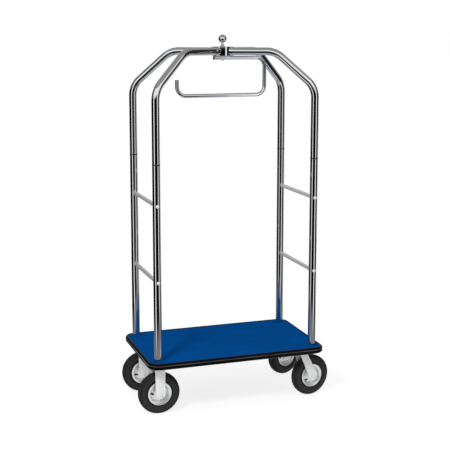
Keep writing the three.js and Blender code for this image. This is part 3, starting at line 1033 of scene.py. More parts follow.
@dataclass
class Posts:
    """The four posts: lower tubes, joint rings and upper tubes that bend in to the hub."""

    finishes: Finishes
    tube_radius: float = TUBE_RADIUS
    tube_sides: int = 48
    end_chamfer: float = 0.0007
    ring_bore: float = 0.01755
    ring_round: float = 0.0009
    shoulder_height: float = 1.576
    run_height: float = 1.748
    run_reach: float = 0.26
    socket_floor: float = 0.0443
    bend_radius: float = 0.11
    bend_steps: int = 18
    bolt_radius: float = 0.005
    bolt_head: float = 0.009

    def build(self) -> None:
        """Model and dress the posts."""
        self.lower_tubes()
        self.rings()
        self.upper_tubes()
        self.foot_bolts()

    def spread(self, master: Piece, node: str, name: str, slot: str) -> None:
        """Copy a piece that stands on the Z axis to each corner, and put the first one away.

        Args:
            master: The piece.
            node: How the names of the nodes that it replaces start.
            name: How the copies' names start.
            slot: The slot of its finish.
        """
        for corner in Corner:
            post = middle(f"lower_post_{corner.value}")
            twin = Bench.copied(master, f"{name}_{corner.value}", Matrix.Translation((post.x, post.y, 0)))
            self.finishes.dress(twin, slot, Body.FRAME.value, f"{node}_{corner.value}")
        Bench.put_away(master)

    def lower_tubes(self) -> None:
        """Turn the lower tube, with eased ends."""
        low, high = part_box("lower_post_front_left")
        ease = self.end_chamfer
        radius = self.tube_radius
        tube = Bench.turned("lower_tube", [
            (0, low.z), (radius - ease, low.z), (radius, low.z + ease), (radius, high.z - ease),
            (radius - ease, high.z), (0, high.z)], self.tube_sides)
        Bench.polish(tube, angle=35)
        self.spread(tube, "lower_post", "lower_tube", "chrome")

    def rings(self) -> None:
        """Turn the dark ring that parts the lower tube from the upper one."""
        low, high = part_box("joint_ring_front_left")
        outer = (high.x - low.x) / 2
        ease = self.ring_round
        crest = arc((outer - ease, high.z - ease), ease, 90, 0, 4)
        heel = arc((outer - ease, low.z + ease), ease, 0, -90, 4)
        bore = self.ring_bore
        outline = [(bore, low.z), (bore, high.z), *crest, *heel]
        ring = Bench.turned("joint_band", outline, self.tube_sides, True)
        Bench.polish(ring, angle=35)
        self.spread(ring, "joint_ring", "joint_band", "dark_steel")

    def upper_tubes(self) -> None:
        """Bend each upper tube from its joint over the shoulder to the hub."""
        hub = middle("crown_hub")
        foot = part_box("joint_ring_front_left")[1].z + self.ring_round / 3
        for corner in Corner:
            post = middle(f"lower_post_{corner.value}")
            outward = Vector((post.x - hub.x, post.y - hub.y, 0)).normalized()
            top = Vector((hub.x, hub.y, self.run_height))
            corners = [
                Vector((post.x, post.y, foot)),
                Vector((post.x, post.y, self.shoulder_height)),
                top + outward * self.run_reach,
                top + outward * self.socket_floor,
            ]
            tube = Bench.bent_tube(f"upper_tube_{corner.value}", corners, self.tube_radius, self.bend_radius,
                                   self.tube_sides, self.bend_steps)
            Bench.cap()
            Bench.ease(tube, self.end_chamfer, segments=2, angle=60)
            Bench.polish(tube, angle=35)
            self.finishes.dress(tube, "chrome", Body.FRAME.value, f"upper_post_{corner.value}")

    def foot_bolts(self) -> None:
        """Make the bolt that holds a post's foot from under the board."""
        low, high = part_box("post_foot_bolt_front_left")
        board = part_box("deck_board")[0].z
        bolt = Fasteners.hex_bolt("foot_bolt", self.bolt_head, board - low.z, self.bolt_radius,
                                  high.z - board)
        Bench.place(bolt, Matrix.Translation((0, 0, board)))
        self.spread(bolt, "post_foot_bolt", "foot_bolt", "zinc")


class Fasteners:
    """Screws, bolts and nuts, each made about the Z axis with its seat at Z = 0 and its head below."""

    STEPS = 36
    WASHER = 0.12
    TIP = 0.8
    TIP_LENGTH = 0.3
    OVERSIZE = 1.02
    CHAMFER_START = 0.82
    CROWN = 0.98
    SKIRT = 0.28
    SEAT = 0.25
    DOME_STEP = 10
    DOME_POINTS = 7
    MOUTH = 1.25
    KEY_DEPTH = 0.6

    @classmethod
    def hex_bolt(cls, name: str, head: float, height: float, shank: float, length: float) -> Piece:
        """Make a hexagon bolt with a washer face and a chamfered head.

        Args:
            name: The piece's name.
            head: The head's radius over its corners.
            height: The head's height.
            shank: The shank's radius.
            length: The shank's length above the seat.

        Returns:
            The new piece.
        """
        flat = head * math.cos(math.pi / HEXAGON)
        washer = height * cls.WASHER
        outer = head * cls.OVERSIZE
        stem = [(0, length), (shank * cls.TIP, length), (shank, length - shank * cls.TIP_LENGTH), (shank, 0)]
        collar = [(flat, 0), (flat, -washer), (outer, -washer), (outer, -height * cls.CHAMFER_START)]
        crown = [(flat * cls.CROWN, -height), (0, -height)]
        piece = Bench.turned(name, [*stem, *collar, *crown], cls.STEPS)
        cls.shave_hexagon(piece, flat, -height * 2, -washer)
        Bench.polish(piece, angle=28)
        return piece

    @staticmethod
    def shave_hexagon(piece: Piece, flat: float, low: float, high: float) -> None:
        """Bring a turned head to a hexagon by cutting off what lies outside it.

        Args:
            piece: The turned piece.
            flat: The distance from the axis to each flat.
            low: The lowest height that is cut.
            high: The highest height that is cut.
        """
        tool = Bench.slab("hexagon_tool", hexagon(flat, low), Vector((0, 0, high - low)))
        Bench.close()
        shell = Bench.rod("hexagon_shell", flat * 2, low, high, 24)
        Bench.work(shell, tool, Operation.CUT)
        Bench.work(piece, shell, Operation.CUT)

    @classmethod
    def button_screw(cls, name: str, head: float, height: float, key: float) -> Piece:
        """Make a button-head screw with a hexagon socket.

        Args:
            name: The piece's name.
            head: The head's radius.
            height: The head's height.
            key: The socket's distance from its axis to each flat.

        Returns:
            The new piece.
        """
        skirt = height * cls.SKIRT
        seat = head * cls.SEAT
        angles = [math.radians(cls.DOME_STEP * i) for i in range(cls.DOME_POINTS)]
        dome = [(head * math.cos(a), -skirt - (height - skirt) * math.sin(a)) for a in angles]
        mouth = [(key * cls.MOUTH, -height), (0, -height)]
        piece = Bench.turned(name, [(0, seat), (head, seat), *dome, *mouth], cls.STEPS)
        tool = Bench.slab("key_tool", hexagon(key, -height * 2), Vector((0, 0, height * (2 - cls.KEY_DEPTH))))
        Bench.close()
        Bench.work(piece, tool, Operation.CUT)
        Bench.polish(piece, angle=30)
        return piece


@dataclass
class Rungs:
    """The two rungs across each end, and the screws that hold them."""

    finishes: Finishes
    radius: float = 0.01
    sides: int = 32
    post_radius: float = TUBE_RADIUS
    post_sides: int = 48
    gap: float = 0.0002
    head_radius: float = 0.008
    head_height: float = 0.0046
    key: float = 0.0025

    def build(self) -> None:
        """Model and dress the rungs and their screws."""
        bar = self.bar()
        screw = self.screw()
        for level in ("lower", "upper"):
            for side in ("left", "right"):
                seat = middle(f"{level}_rung_{side}")
                rung = Bench.copied(bar, f"{level}_end_rung_{side}", Matrix.Translation(seat))
                self.finishes.dress(rung, "satin_steel", Body.FRAME.value, f"{level}_rung_{side}")
                for end, turn in (("front", 0.0), ("rear", math.pi)):
                    post = middle(f"lower_post_{end}_{side}")
                    move = Matrix.Translation((post.x, post.y, seat.z)) @ Matrix.Rotation(turn, 4, "Z")
                    twin = Bench.copied(screw, f"{level}_button_screw_{end}_{side}", move)
                    self.finishes.dress(twin, "zinc", Body.FRAME.value, f"{level}_rung_screw_{end}_{side}")
        Bench.put_away(bar, screw)

    def post_tool(self, offset: float, radius: float) -> Piece:
        """Make a cutter of a post's size at an offset along Y.

        Args:
            offset: The post's place along Y.
            radius: The cutter's radius.

        Returns:
            The new piece.
        """
        reach = self.radius * 2
        tool = Bench.rod("post_tool", radius, -reach, reach, self.post_sides)
        return Bench.place(tool, Matrix.Translation((0, offset, 0)))

    def bar(self) -> Piece:
        """Make a rung about its own middle, with ends coped to the posts.

        Returns:
            The new piece.
        """
        half = (middle("lower_post_rear_left").y - middle("lower_post_front_left").y) / 2
        bar = Bench.bent_tube("rung_bar", [Vector((0, -half, 0)), Vector((0, half, 0))], self.radius, 0,
                              self.sides, 1)
        Bench.cap()
        for offset in (-half, half):
            Bench.work(bar, self.post_tool(offset, self.post_radius + self.gap), Operation.CUT)
        Bench.polish(bar, angle=40)
        return bar

    def screw(self) -> Piece:
        """Make a rung's screw for the front of a post that stands on the Z axis, seated on its round.

        Returns:
            The new piece.
        """
        screw = Fasteners.button_screw("rung_button", self.head_radius, self.head_height, self.key)
        turn = Matrix.Rotation(-QUARTER_TURN, 4, "X")
        Bench.place(screw, Matrix.Translation((0, -self.post_radius - self.gap, 0)) @ turn)
        Bench.work(screw, self.post_tool(0, self.post_radius + self.gap / 2), Operation.CUT)
        Bench.polish(screw, angle=30)
        return screw


@dataclass
class Crown:
    """The hub that joins the upper tubes, and the ball finial on it."""

    finishes: Finishes
    steps: int = 48
    core_radius: float = 0.042
    socket_outer: float = 0.02235
    socket_bore: float = 0.0192
    socket_floor: float = 0.0441
    mouth_bead: float = 0.0008
    reach: float = 0.0561
    edge: float = 0.0022
    ball_radius: float = 0.0204
    ball_steps: int = 28
    neck_radius: float = 0.005
    neck_foot: float = 1.7
    bead_reach: float = 1.05
    bead_rise: float = 0.75
    bead_radius: float = 0.72
    base_radius: float = 0.0115
    base_height: float = 0.004
    base_sole: float = 0.94
    base_heel: float = 0.0006
    base_crest: float = 0.001
    base_top: float = 0.9
    finial_steps: int = 56

    def build(self) -> None:
        """Model and dress the crown."""
        self.hub()
        self.finial()

    def arm(self, name: str, outline: Profile, angle: float, place: Vector) -> Piece:
        """Turn a socket's outline and lay it from the hub towards a post.

        Args:
            name: The piece's name.
            outline: Its outline along the arm.
            angle: The way to the post, in radians.
            place: The hub's middle.

        Returns:
            The new piece.
        """
        piece = Bench.turned(name, outline, self.steps)
        lay = Matrix.Rotation(angle, 4, "Z") @ Matrix.Rotation(QUARTER_TURN, 4, "Y")
        return Bench.place(piece, Matrix.Translation(place) @ lay)

    def hub(self) -> None:
        """Weld four sockets to the core and bore them."""
        low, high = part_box("crown_hub")
        place = (low + high) / 2
        half = (high.z - low.z) / 2
        edge = self.edge
        top = arc((self.core_radius - edge, half - edge), edge, 0, 90, 4)
        foot = arc((self.core_radius - edge, edge - half), edge, -90, 0, 4)
        hub = Bench.turned("hub_casting", [(0, -half), *foot, *top, (0, half)], self.steps)
        Bench.place(hub, Matrix.Translation(place))
        outer = self.socket_outer
        bore = self.socket_bore
        floor = self.socket_floor
        past = self.reach * 2
        bead = self.mouth_bead
        lip = arc((outer - bead, self.reach - bead), bead, 0, 90, 3)
        arm = [(0, 0), (outer, 0), *lip, (0, self.reach)]
        socket = [(0, floor), (bore, floor), (bore, past), (0, past)]
        posts = [middle(f"lower_post_{corner.value}") - place for corner in Corner]
        angles = [math.atan2(post.y, post.x) for post in posts]
        steps = (("hub_arm", arm, Operation.WELD), ("hub_bore", socket, Operation.CUT))
        for name, outline, operation in steps:
            for angle in angles:
                Bench.work(hub, self.arm(name, outline, angle, place), operation)
        Bench.polish(hub, angle=30)
        self.finishes.dress(hub, "chrome", Body.FRAME.value, "crown_hub")

    def finial(self) -> None:
        """Turn the finial: base, bead, neck and ball."""
        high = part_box("finial")[1]
        place = middle("crown_hub")
        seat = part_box("crown_hub")[1].z + self.edge / 8
        base = self.base_radius
        neck = self.neck_radius
        rim = seat + self.base_height
        foot = [(0, seat), (base * self.base_sole, seat), (base, seat + self.base_heel),
                (base, rim - self.base_crest), (base * self.base_top, rim)]
        bead = arc((neck * self.bead_reach, rim + neck * self.bead_rise), neck * self.bead_radius, -80, 80, 8)
        meet = math.degrees(-math.acos(neck / self.ball_radius))
        ball = arc((0, high.z - self.ball_radius), self.ball_radius, meet, 90, self.ball_steps)
        outline = [*foot, *bead, (neck, rim + neck * self.neck_foot), *ball[:-1], (0, high.z)]
        piece = Bench.turned("ball_finial", outline, self.finial_steps)
        Bench.place(piece, Matrix.Translation((place.x, place.y, 0)))
        Bench.polish(piece, angle=40)
        self.finishes.dress(piece, "chrome", Body.FRAME.value, "finial")


@dataclass
class GarmentRail:
    """The rail for hangers: a bent tube with an end plug, held under the hub by one bolt."""

    finishes: Finishes
    radius: float = 0.0095
    wall: float = 0.0014
    wall_edge: float = 0.0003
    bend: float = 0.045
    short_reach: float = 0.044
    far_reach: float = 0.22
    drop: float = 0.183
    open_reach: float = 0.233
    open_rise: float = 0.078
    sides: int = 36
    bend_steps: int = 16
    plug_fit: float = 0.0008
    plug_face: float = 0.003
    plug_round: float = 0.0011
    plug_dome: float = 0.00015
    plug_heel: float = 0.0003
    plug_tip: float = 0.001
    bolt_head: float = 0.0075
    bolt_shank: float = 0.004
    bolt_gap: float = 0.0002

    def build(self) -> None:
        """Model and dress the rail, its plug and its bolt."""
        hub = middle("crown_hub")
        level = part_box("garment_rail")[1].z - self.radius
        self.tube(hub, level)
        self.plug()
        self.bolt(hub)

    def tube(self, hub: Vector, level: float) -> None:
        """Bend the rail and give it its wall.

        Args:
            hub: The hub's middle.
            level: The height of the rail's upper run.
        """
        low = level - self.drop
        route = [(-self.short_reach, level), (self.far_reach, level), (self.far_reach, low),
                 (-self.open_reach, low), (-self.open_reach, low + self.open_rise)]
        corners = [Vector((hub.x + x, hub.y, z)) for x, z in route]
        rail = Bench.bent_tube("hanger_rail", corners, self.radius, self.bend, self.sides, self.bend_steps)
        Bench.close()
        Bench.modify(rail, "SOLIDIFY", thickness=self.wall, offset=-1)
        Bench.ease(rail, self.wall_edge, segments=2, angle=60)
        Bench.polish(rail, angle=40)
        self.finishes.dress(rail, "chrome", Body.RAIL.value, "garment_rail")

    def plug(self) -> None:
        """Turn the plug, with a domed face, for the short end of the upper run."""
        low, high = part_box("garment_rail_plug")
        outer = (high.z - low.z) / 2
        stem = outer - self.wall - self.plug_fit
        face = self.plug_face
        heel = self.plug_heel
        tip = self.plug_tip
        length = high.x - low.x
        dome = [(0, 0), (outer * 0.5, self.plug_dome)]
        crest = arc((outer - self.plug_round, self.plug_round), self.plug_round, -75, 0, 4)
        head = [(outer, face - heel), (outer - heel, face)]
        shank = [(stem, face), (stem, length - tip), (stem - tip, length), (0, length)]
        plug = Bench.turned("rail_end_plug", [*dome, *crest, *head, *shank], self.sides)
        seat = Vector((low.x, (low.y + high.y) / 2, (low.z + high.z) / 2))
        Bench.place(plug, Matrix.Translation(seat) @ Matrix.Rotation(QUARTER_TURN, 4, "Y"))
        Bench.polish(plug, angle=40)
        self.finishes.dress(plug, "black_plastic", Body.RAIL.value, "garment_rail_plug")

    def bolt(self, hub: Vector) -> None:
        """Make the bolt that holds the rail under the hub.

        Args:
            hub: The hub's middle.
        """
        low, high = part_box("garment_rail_bolt")
        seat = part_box("garment_rail")[1].z - 2 * self.radius - self.bolt_gap
        bolt = Fasteners.hex_bolt("rail_bolt", self.bolt_head, seat - low.z, self.bolt_shank, high.z - seat)
        Bench.place(bolt, Matrix.Translation((hub.x, hub.y, seat)))
        self.finishes.dress(bolt, "zinc", Body.FRAME.value, "garment_rail_bolt")


@dataclass(frozen=True)
class WheelPlace:
    """Where one caster stands: its corner, its pivot, how far its wheel trails and which way it is turned."""

    corner: Corner
    pivot: Vector
    trail: float
    yaw: float
    slot_angle: float

    @property
    def caster(self) -> Matrix:
        """The caster's own frame."""
        return Matrix.Translation((self.pivot.x, self.pivot.y, 0)) @ Matrix.Rotation(self.yaw, 4, "Z")

    @property
    def wheel_body(self) -> str:
        """The name of the wheel's body."""
        return f"wheel_{self.corner.value}"


@dataclass
class Wheel:
    """A pressed rim and a pneumatic tyre, made about the Y axis at the origin."""

    radius: float = WHEEL_RADIUS
    half_width: float = 0.025
    bead_radius: float = 0.054
    cheek_middle: float = 0.0795
    cheek_half_height: float = 0.0215
    cheek_step: float = 0.0006
    lug_start: float = 0.0945
    lug_inside: float = 0.0104
    tread_fall: float = 0.06
    grooves: Point = (0.0096, 0.0028)
    groove_half: float = 0.0007
    groove_depth: float = 0.0018
    lugs: int = 72
    lug_depth: float = 0.004
    flange_radius: float = 0.059
    flange_along: float = 0.0219
    well_radius: float = 0.048
    disc_half: float = 0.0036
    disc_radius: float = 0.0412
    hub_radius: float = 0.0163
    hub_half: float = 0.0305
    hub_edge: float = 0.0013
    bore: float = 0.0064
    rim_steps: int = 64
    slot_reach: float = 0.0335
    slot_length: float = 0.021
    slot_width: float = 0.0095
    slot_lean: float = 40
    flap_half: float = 0.0012
    flap_fit: float = 0.0002
    bolt_circle: float = 0.0265
    bolt_count: int = 5
    bolt_head: float = 0.0048
    bolt_head_height: float = 0.0032
    bolt_shank: float = 0.0022
    bolt_length: float = 0.0105
    bolt_seat: float = -0.0039
    stem: float = 0.0028
    stem_lean: float = -32
    stem_reach: float = 0.0425
    stem_seat: float = -0.002

    def crest(self, along: float) -> float:
        """Give the radius of the tread's crest at a place along the axle."""
        return self.radius - along * along / (2 * self.tread_fall)

    def groove(self, along: float) -> list[Point]:
        """Give the four points of a groove round the tread, from its outer edge in.

        Args:
            along: The groove's middle, along the axle.

        Returns:
            The points, as (radius, along) pairs.
        """
        edge = self.groove_half
        floor = self.crest(along) - self.groove_depth
        outside = along + 2 * edge
        inside = along - 2 * edge
        return [(self.crest(outside), outside), (floor, along + edge), (floor, along - edge),
                (self.crest(inside), inside)]

    @staticmethod
    def mirrored(half: list[Point]) -> list[Point]:
        """Complete a section of (radius, along) pairs with its mirror image."""
        return [*half, *((radius, -along) for radius, along in reversed(half))]

    def tyre_outline(self) -> list[Point]:
        """Give the tyre's section as (radius, along) pairs, from bead to bead over the tread.

        Returns:
            The closed section.
        """
        seat = self.bead_radius
        flange = self.flange_radius
        half = self.half_width
        bead = [(seat, half * 0.4), (seat, half * 0.62), (seat + 0.0016, half * 0.73),
                (flange + 0.001, half * 0.765), (flange + 0.0026, half * 0.815)]
        angles = [math.radians(angle) for angle in range(140, 44, -12)]
        cheek = [(self.cheek_middle + self.cheek_half_height * math.cos(a), half * math.sin(a))
                 for a in angles]
        ledge = (cheek[-1][0] + self.cheek_step, cheek[-1][1] + self.cheek_step)
        falls = [(half * 0.69, 0.0032), (half * 0.6, 0.0011), (half * 0.51, 0.0002)]
        shoulder = [(self.crest(along) - fall, along) for along, fall in falls]
        tread = [point for along in self.grooves for point in self.groove(along)]
        return self.mirrored([*bead, *cheek, ledge, *shoulder, *tread])

    def tyre(self) -> Piece:
        """Turn the tyre and sink the gaps between its shoulder lugs.

        Returns:
            The new piece.
        """
        steps = 2 * self.lugs
        tyre = Bench.turned("tyre_master", self.tyre_outline(), steps, True)
        Bench.take(tyre)
        Bench.edit()
        step = FULL_TURN / steps

        def in_gap(face: bmesh.types.BMFace) -> bool:
            """Tell whether a face lies in a gap between two lugs.

            Args:
                face: The face.

            Returns:
                Whether it does.
            """
            centre = face.calc_center_median()
            reach = math.hypot(centre.x, centre.y)
            sector = int(((math.atan2(centre.y, centre.x) + FULL_TURN) % FULL_TURN) / step)
            side = 1 if centre.z > 0 else 0
            return reach > self.lug_start and abs(centre.z) > self.lug_inside and sector % 2 == side

        Bench.select_faces(tyre, in_gap)
        bpy.ops.mesh.extrude_region_shrink_fatten(TRANSFORM_OT_shrink_fatten={"value": -self.lug_depth})
        bpy.ops.mesh.select_mode(type="VERT")
        Bench.close()
        Bench.place(tyre, Matrix.Rotation(-QUARTER_TURN, 4, "X"))
        Bench.polish(tyre, angle=38)
        return tyre

    def rim_outline(self) -> list[Point]:
        """Give the rim's section as (radius, along) pairs, from the bore out over the flange and back.

        Returns:
            The closed section.
        """
        hub = self.hub_radius
        edge = self.hub_edge
        disc = self.disc_half
        dish_end = self.disc_radius
        flange = self.flange_radius
        lip = self.flange_along
        well = self.well_radius
        seat = self.bead_radius
        barrel = [(self.bore, self.hub_half), (hub - edge, self.hub_half), (hub, self.hub_half - edge),
                  (hub, disc + 0.004), (hub + 0.001, disc + 0.0022), (hub + 0.0035, disc + 0.001)]
        dish = [(hub + 0.0062, disc + 0.0004), (dish_end - 0.0032, disc), (dish_end, disc + 0.0006),
                (dish_end + 0.0016, disc + 0.0024), (dish_end + 0.0026, disc + 0.0054),
                (dish_end + 0.0046, disc + 0.0119), (well - 0.001, lip - 0.0037)]
        rolled = [(well + 0.001, lip - 0.0023), (well + 0.0045, lip - 0.0018),
                  (flange - 0.0035, lip - 0.0009), (flange - 0.0013, lip), (flange - 0.0003, lip - 0.0002),
                  (flange, lip - 0.0011), (flange - 0.0006, lip - 0.0021)]
        back = [(flange - 0.003, lip - 0.0035), (seat - 0.0001, lip - 0.0051), (seat - 0.0005, lip - 0.0067),
                (seat - 0.0008, lip - 0.0109), (well, disc + 0.0034)]
        return self.mirrored([*barrel, *dish, *rolled, *back])

    def slot_slab(self, name: str, half: float, less: float) -> Piece:
        """Make a slab of the shape of the slot through which the valve is reached.

        Args:
            name: The piece's name.
            half: Half its thickness.
            less: How much smaller than the slot it is, all round.

        Returns:
            The new piece, in its place in the rim.
        """
        end = self.slot_width / 2 - less
        run = self.slot_length / 2 - self.slot_width / 2
        points = [*arc((run, 0), end, -90, 90, 8), *arc((-run, 0), end, 90, 270, 8)]
        slab = Bench.slab(name, [Vector((x, y, -half)) for x, y in points], Vector((0, 0, 2 * half)))
        Bench.close()
        lean = Matrix.Rotation(math.radians(self.slot_lean), 4, "Z")
        return Bench.place(slab, Matrix.Translation((self.slot_reach, 0, 0)) @ lean)

    def rim(self) -> Piece:
        """Turn the rim and cut the valve's slot in its disc.

        Returns:
            The new piece.
        """
        rim = Bench.turned("rim_master", self.rim_outline(), self.rim_steps, True)
        Bench.work(rim, self.slot_slab("slot_tool", self.half_width, 0), Operation.CUT)
        Bench.place(rim, Matrix.Rotation(-QUARTER_TURN, 4, "X"))
        Bench.polish(rim, angle=38)
        return rim

    def rim_bolts(self) -> Piece:
        """Make the bolts that clamp the two halves of the rim, as one piece.

        Returns:
            The new piece.
        """
        bolt = Fasteners.hex_bolt("rim_bolt_master", self.bolt_head, self.bolt_head_height, self.bolt_shank,
                                  self.bolt_length)
        Bench.place(bolt, Matrix.Translation((self.bolt_circle, 0, self.bolt_seat)))
        places = self.bolt_count + 1
        twins = [Bench.copied(bolt, f"rim_bolt_{i}", Matrix.Rotation(FULL_TURN * i / places, 4, "Z"))
                 for i in range(1, places)]
        Bench.put_away(bolt)
        bolts = Bench.joined(twins, "rim_bolts_master")
        return Bench.place(bolts, Matrix.Rotation(-QUARTER_TURN, 4, "X"))

    def valve(self) -> Piece:
        """Turn the valve stem with its cap, lying out through the slot.

        Returns:
            The new piece.
        """
        stem = self.stem
        foot = stem * 1.25
        neck = stem * 0.8
        cap = stem * 1.1
        outline = [(0, 0), (foot, 0), (foot, 0.003), (stem, 0.004), (stem, 0.012), (neck, 0.0125),
                   (neck, 0.0135), (cap, 0.0138), (cap, 0.0185), (stem * 0.7, 0.0195), (0, 0.0195)]
        valve = Bench.turned("valve_master", outline, 20)
        lean = Matrix.Rotation(math.radians(self.stem_lean), 4, "Y") @ Matrix.Rotation(math.pi, 4, "X")
        Bench.place(valve, Matrix.Translation((self.stem_reach, 0, self.stem_seat)) @ lean)
        Bench.work(valve, self.slot_slab("valve_flap", self.flap_half, self.flap_fit), Operation.WELD)
        Bench.place(valve, Matrix.Rotation(-QUARTER_TURN, 4, "X"))
        Bench.polish(valve, angle=40)
        return valve


@dataclass
class Casters:
    """Two rigid casters at the left and two swivel casters at the right."""

    finishes: Finishes
    wheel: Wheel = field(default_factory=Wheel)
    wheel_radius: float = WHEEL_RADIUS
    trail: float = 0.06
    fork_inside: float = 0.063
    fork_sheet: float = 0.004
    leg_width: float = 0.046
    leg_flare: float = 0.006
    plate_length: float = 0.105
    plate_width: float = 0.08
    plate_sheet: float = 0.004
    plate_corner: float = 0.008
    hole_inset: float = 0.012
    panel_border: float = 0.0058
    panel_depth: float = 0.0009
    crown_length: float = 0.066
    crown_sheet: float = 0.005
    crown_corner: float = 0.012
    step_depth: float = 0.0026
    step_slope: float = 0.003
    step_reach: float = 0.097
    race_radius: float = 0.027
    axle_radius: float = 0.006
    axle_gap: float = 0.0002
    nut_radius: float = 0.01
    nut_height: float = 0.007
    nut_thread: float = 1.02
    nut_bore: float = 1.04
    nut_stub: float = 0.0001
    hole_radius: float = 0.0045
    plate_edge: float = 0.0006
    fork_edge: float = 0.0009
    plate_bolt_head: float = 0.0075
    plate_bolt_height: float = 0.0053
    plate_bolt_shank: float = 0.004
    plate_bolt_gap: float = 0.0001
    kingpin_head: float = 0.007
    kingpin_round: float = 0.004

    def places(self) -> list[WheelPlace]:
        """List where the four casters stand, at rest.

        Returns:
            The four places.
        """
        found = []
        for corner, slot_angle in ((Corner.FRONT_LEFT, 186), (Corner.REAR_LEFT, 205)):
            found.append(WheelPlace(corner, middle(f"tyre_{corner.value}"), 0, 0, slot_angle))
        for corner, slot_angle in ((Corner.FRONT_RIGHT, 228), (Corner.REAR_RIGHT, 200)):
            pivot = middle(f"kingpin_{corner.value}")
            wheel = middle(f"tyre_{corner.value}")
            yaw = math.atan2(wheel.y - pivot.y, wheel.x - pivot.x)
            found.append(WheelPlace(corner, pivot, self.trail, yaw, slot_angle))
        return found

    def build(self) -> None:
        """Model and dress the casters."""
        places = self.places()
        self.wheels(places)
        self.axles(places)
        fixed = [place for place in places if place.trail == 0]
        turning = [place for place in places if place.trail > 0]
        self.rigid_forks(fixed)
        self.swivel_plates(turning)
        self.swivel_forks(turning)
        self.kingpins(turning)
        self.plate_bolts(places)

    def swivel_body(self, place: WheelPlace) -> str:
        """Give the body that carries a caster's fork.

        Args:
            place: Where the caster stands.

        Returns:
            The body's name.
        """
        if place.trail == 0:
            return Body.FRAME.value
        front = place.corner is Corner.FRONT_RIGHT
        return Body.SWIVEL_FRONT.value if front else Body.SWIVEL_REAR.value

    def wheels(self, places: list[WheelPlace]) -> None:
        """Make one wheel and copy it to each caster, with its valve where the photograph shows it.

        Args:
            places: Where the casters stand.
        """
        masters = {"rim": self.wheel.rim(), "tyre": self.wheel.tyre(), "rim_bolts": self.wheel.rim_bolts(),
                   "valve_stem": self.wheel.valve()}
        slots = {"rim": "zinc", "tyre": "tyre", "rim_bolts": "zinc", "valve_stem": "black_plastic"}
        nodes = {"rim": "wheel_rim", "tyre": "tyre"}
        for place in places:
            roll = Matrix.Rotation(math.radians(-place.slot_angle), 4, "Y")
            move = place.caster @ Matrix.Translation((place.trail, 0, self.wheel_radius)) @ roll
            for part, master in masters.items():
                twin = Bench.copied(master, f"wheel_{part}_piece_{place.corner.value}", move)
                stands_for = [f"{nodes[part]}_{place.corner.value}"] if part in nodes else []
                finish = "rim_zinc" if part == "rim" else slots[part]
                self.finishes.dress(twin, slots[part], place.wheel_body, *stands_for, finish=finish)
        Bench.put_away(*masters.values())

    def axles(self, places: list[WheelPlace]) -> None:
        """Make the axle bolt and its nut and copy them to each caster.

        Args:
            places: Where the casters stand.
        """
        low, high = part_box("axle_bolt_front_left")
        across = middle("tyre_front_left").y
        seat = self.fork_inside / 2 + self.fork_sheet + self.axle_gap
        lay = Matrix.Rotation(QUARTER_TURN, 4, "X")
        bolt = Fasteners.hex_bolt("axle_bolt_master", self.nut_radius, high.y - across - seat,
                                  self.axle_radius, seat + across - low.y)
        Bench.place(bolt, Matrix.Translation((0, seat, 0)) @ lay)
        nut = Fasteners.hex_bolt("axle_nut_master", self.nut_radius, self.nut_height,
                                 self.axle_radius * self.nut_thread, self.nut_stub)
        bore = Bench.rod("nut_bore", self.axle_radius * self.nut_bore, -1, 1, 32)
        Bench.work(nut, bore, Operation.CUT)
        Bench.place(nut, Matrix.Translation((0, -seat, 0)) @ Matrix.Rotation(-QUARTER_TURN, 4, "X"))
        for place in places:
            move = place.caster @ Matrix.Translation((place.trail, 0, self.wheel_radius))
            for part, master in (("axle_bolt", bolt), ("axle_nut", nut)):
                twin = Bench.copied(master, f"{part}_piece_{place.corner.value}", move)
                self.finishes.dress(twin, "zinc", self.swivel_body(place), f"{part}_{place.corner.value}")
        Bench.put_away(bolt, nut)

    def leg_outline(self, trail: float, top: float, top_width: float, end_steps: int) -> list[Point]:
        """Give a fork leg's outline as (along, height) pairs, from its level top edge to its round end.

        Args:
            trail: How far the axle trails the caster's pivot.
            top: The height of the leg's top edge.
            top_width: The length of its top edge.
            end_steps: How many chords its round end has.

        Returns:
            The closed outline.
        """
        axle = Vector((trail, self.wheel_radius))
        end = self.leg_width / 2
        corners = [Vector((top_width / 2, top)), Vector((-top_width / 2, top))]
        angles = []
        for sign, corner in zip((-1, 1), corners):
            away = corner - axle
            swing = math.acos(min(1.0, end / away.length))
            angles.append(math.degrees(math.atan2(away.y, away.x) + sign * swing))
        right, left = angles
        right = right + FULL_DEGREES if right < left else right
        return [tuple(corners[0]), tuple(corners[1]), *arc((axle.x, axle.y), end, left, right, end_steps)]

    def leg(self, trail: float, top: float, top_width: float) -> Piece:
        """Make a fork's front leg with a pressed panel in its outer face.

        Args:
            trail: How far the axle trails the caster's pivot.
            top: The height of the leg's top edge.
            top_width: The length of its top edge.

        Returns:
            The new piece.
        """
        inner = -self.fork_inside / 2
        outline = [Vector((x, inner, z)) for x, z in self.leg_outline(trail, top, top_width, 20)]
        leg = Bench.slab("fork_leg", outline, Vector((0, -self.fork_sheet, 0)))
        bpy.ops.mesh.inset(thickness=self.panel_border, depth=0)
        bpy.ops.mesh.inset(thickness=self.panel_depth, depth=-self.panel_depth)
        Bench.close()
        return leg

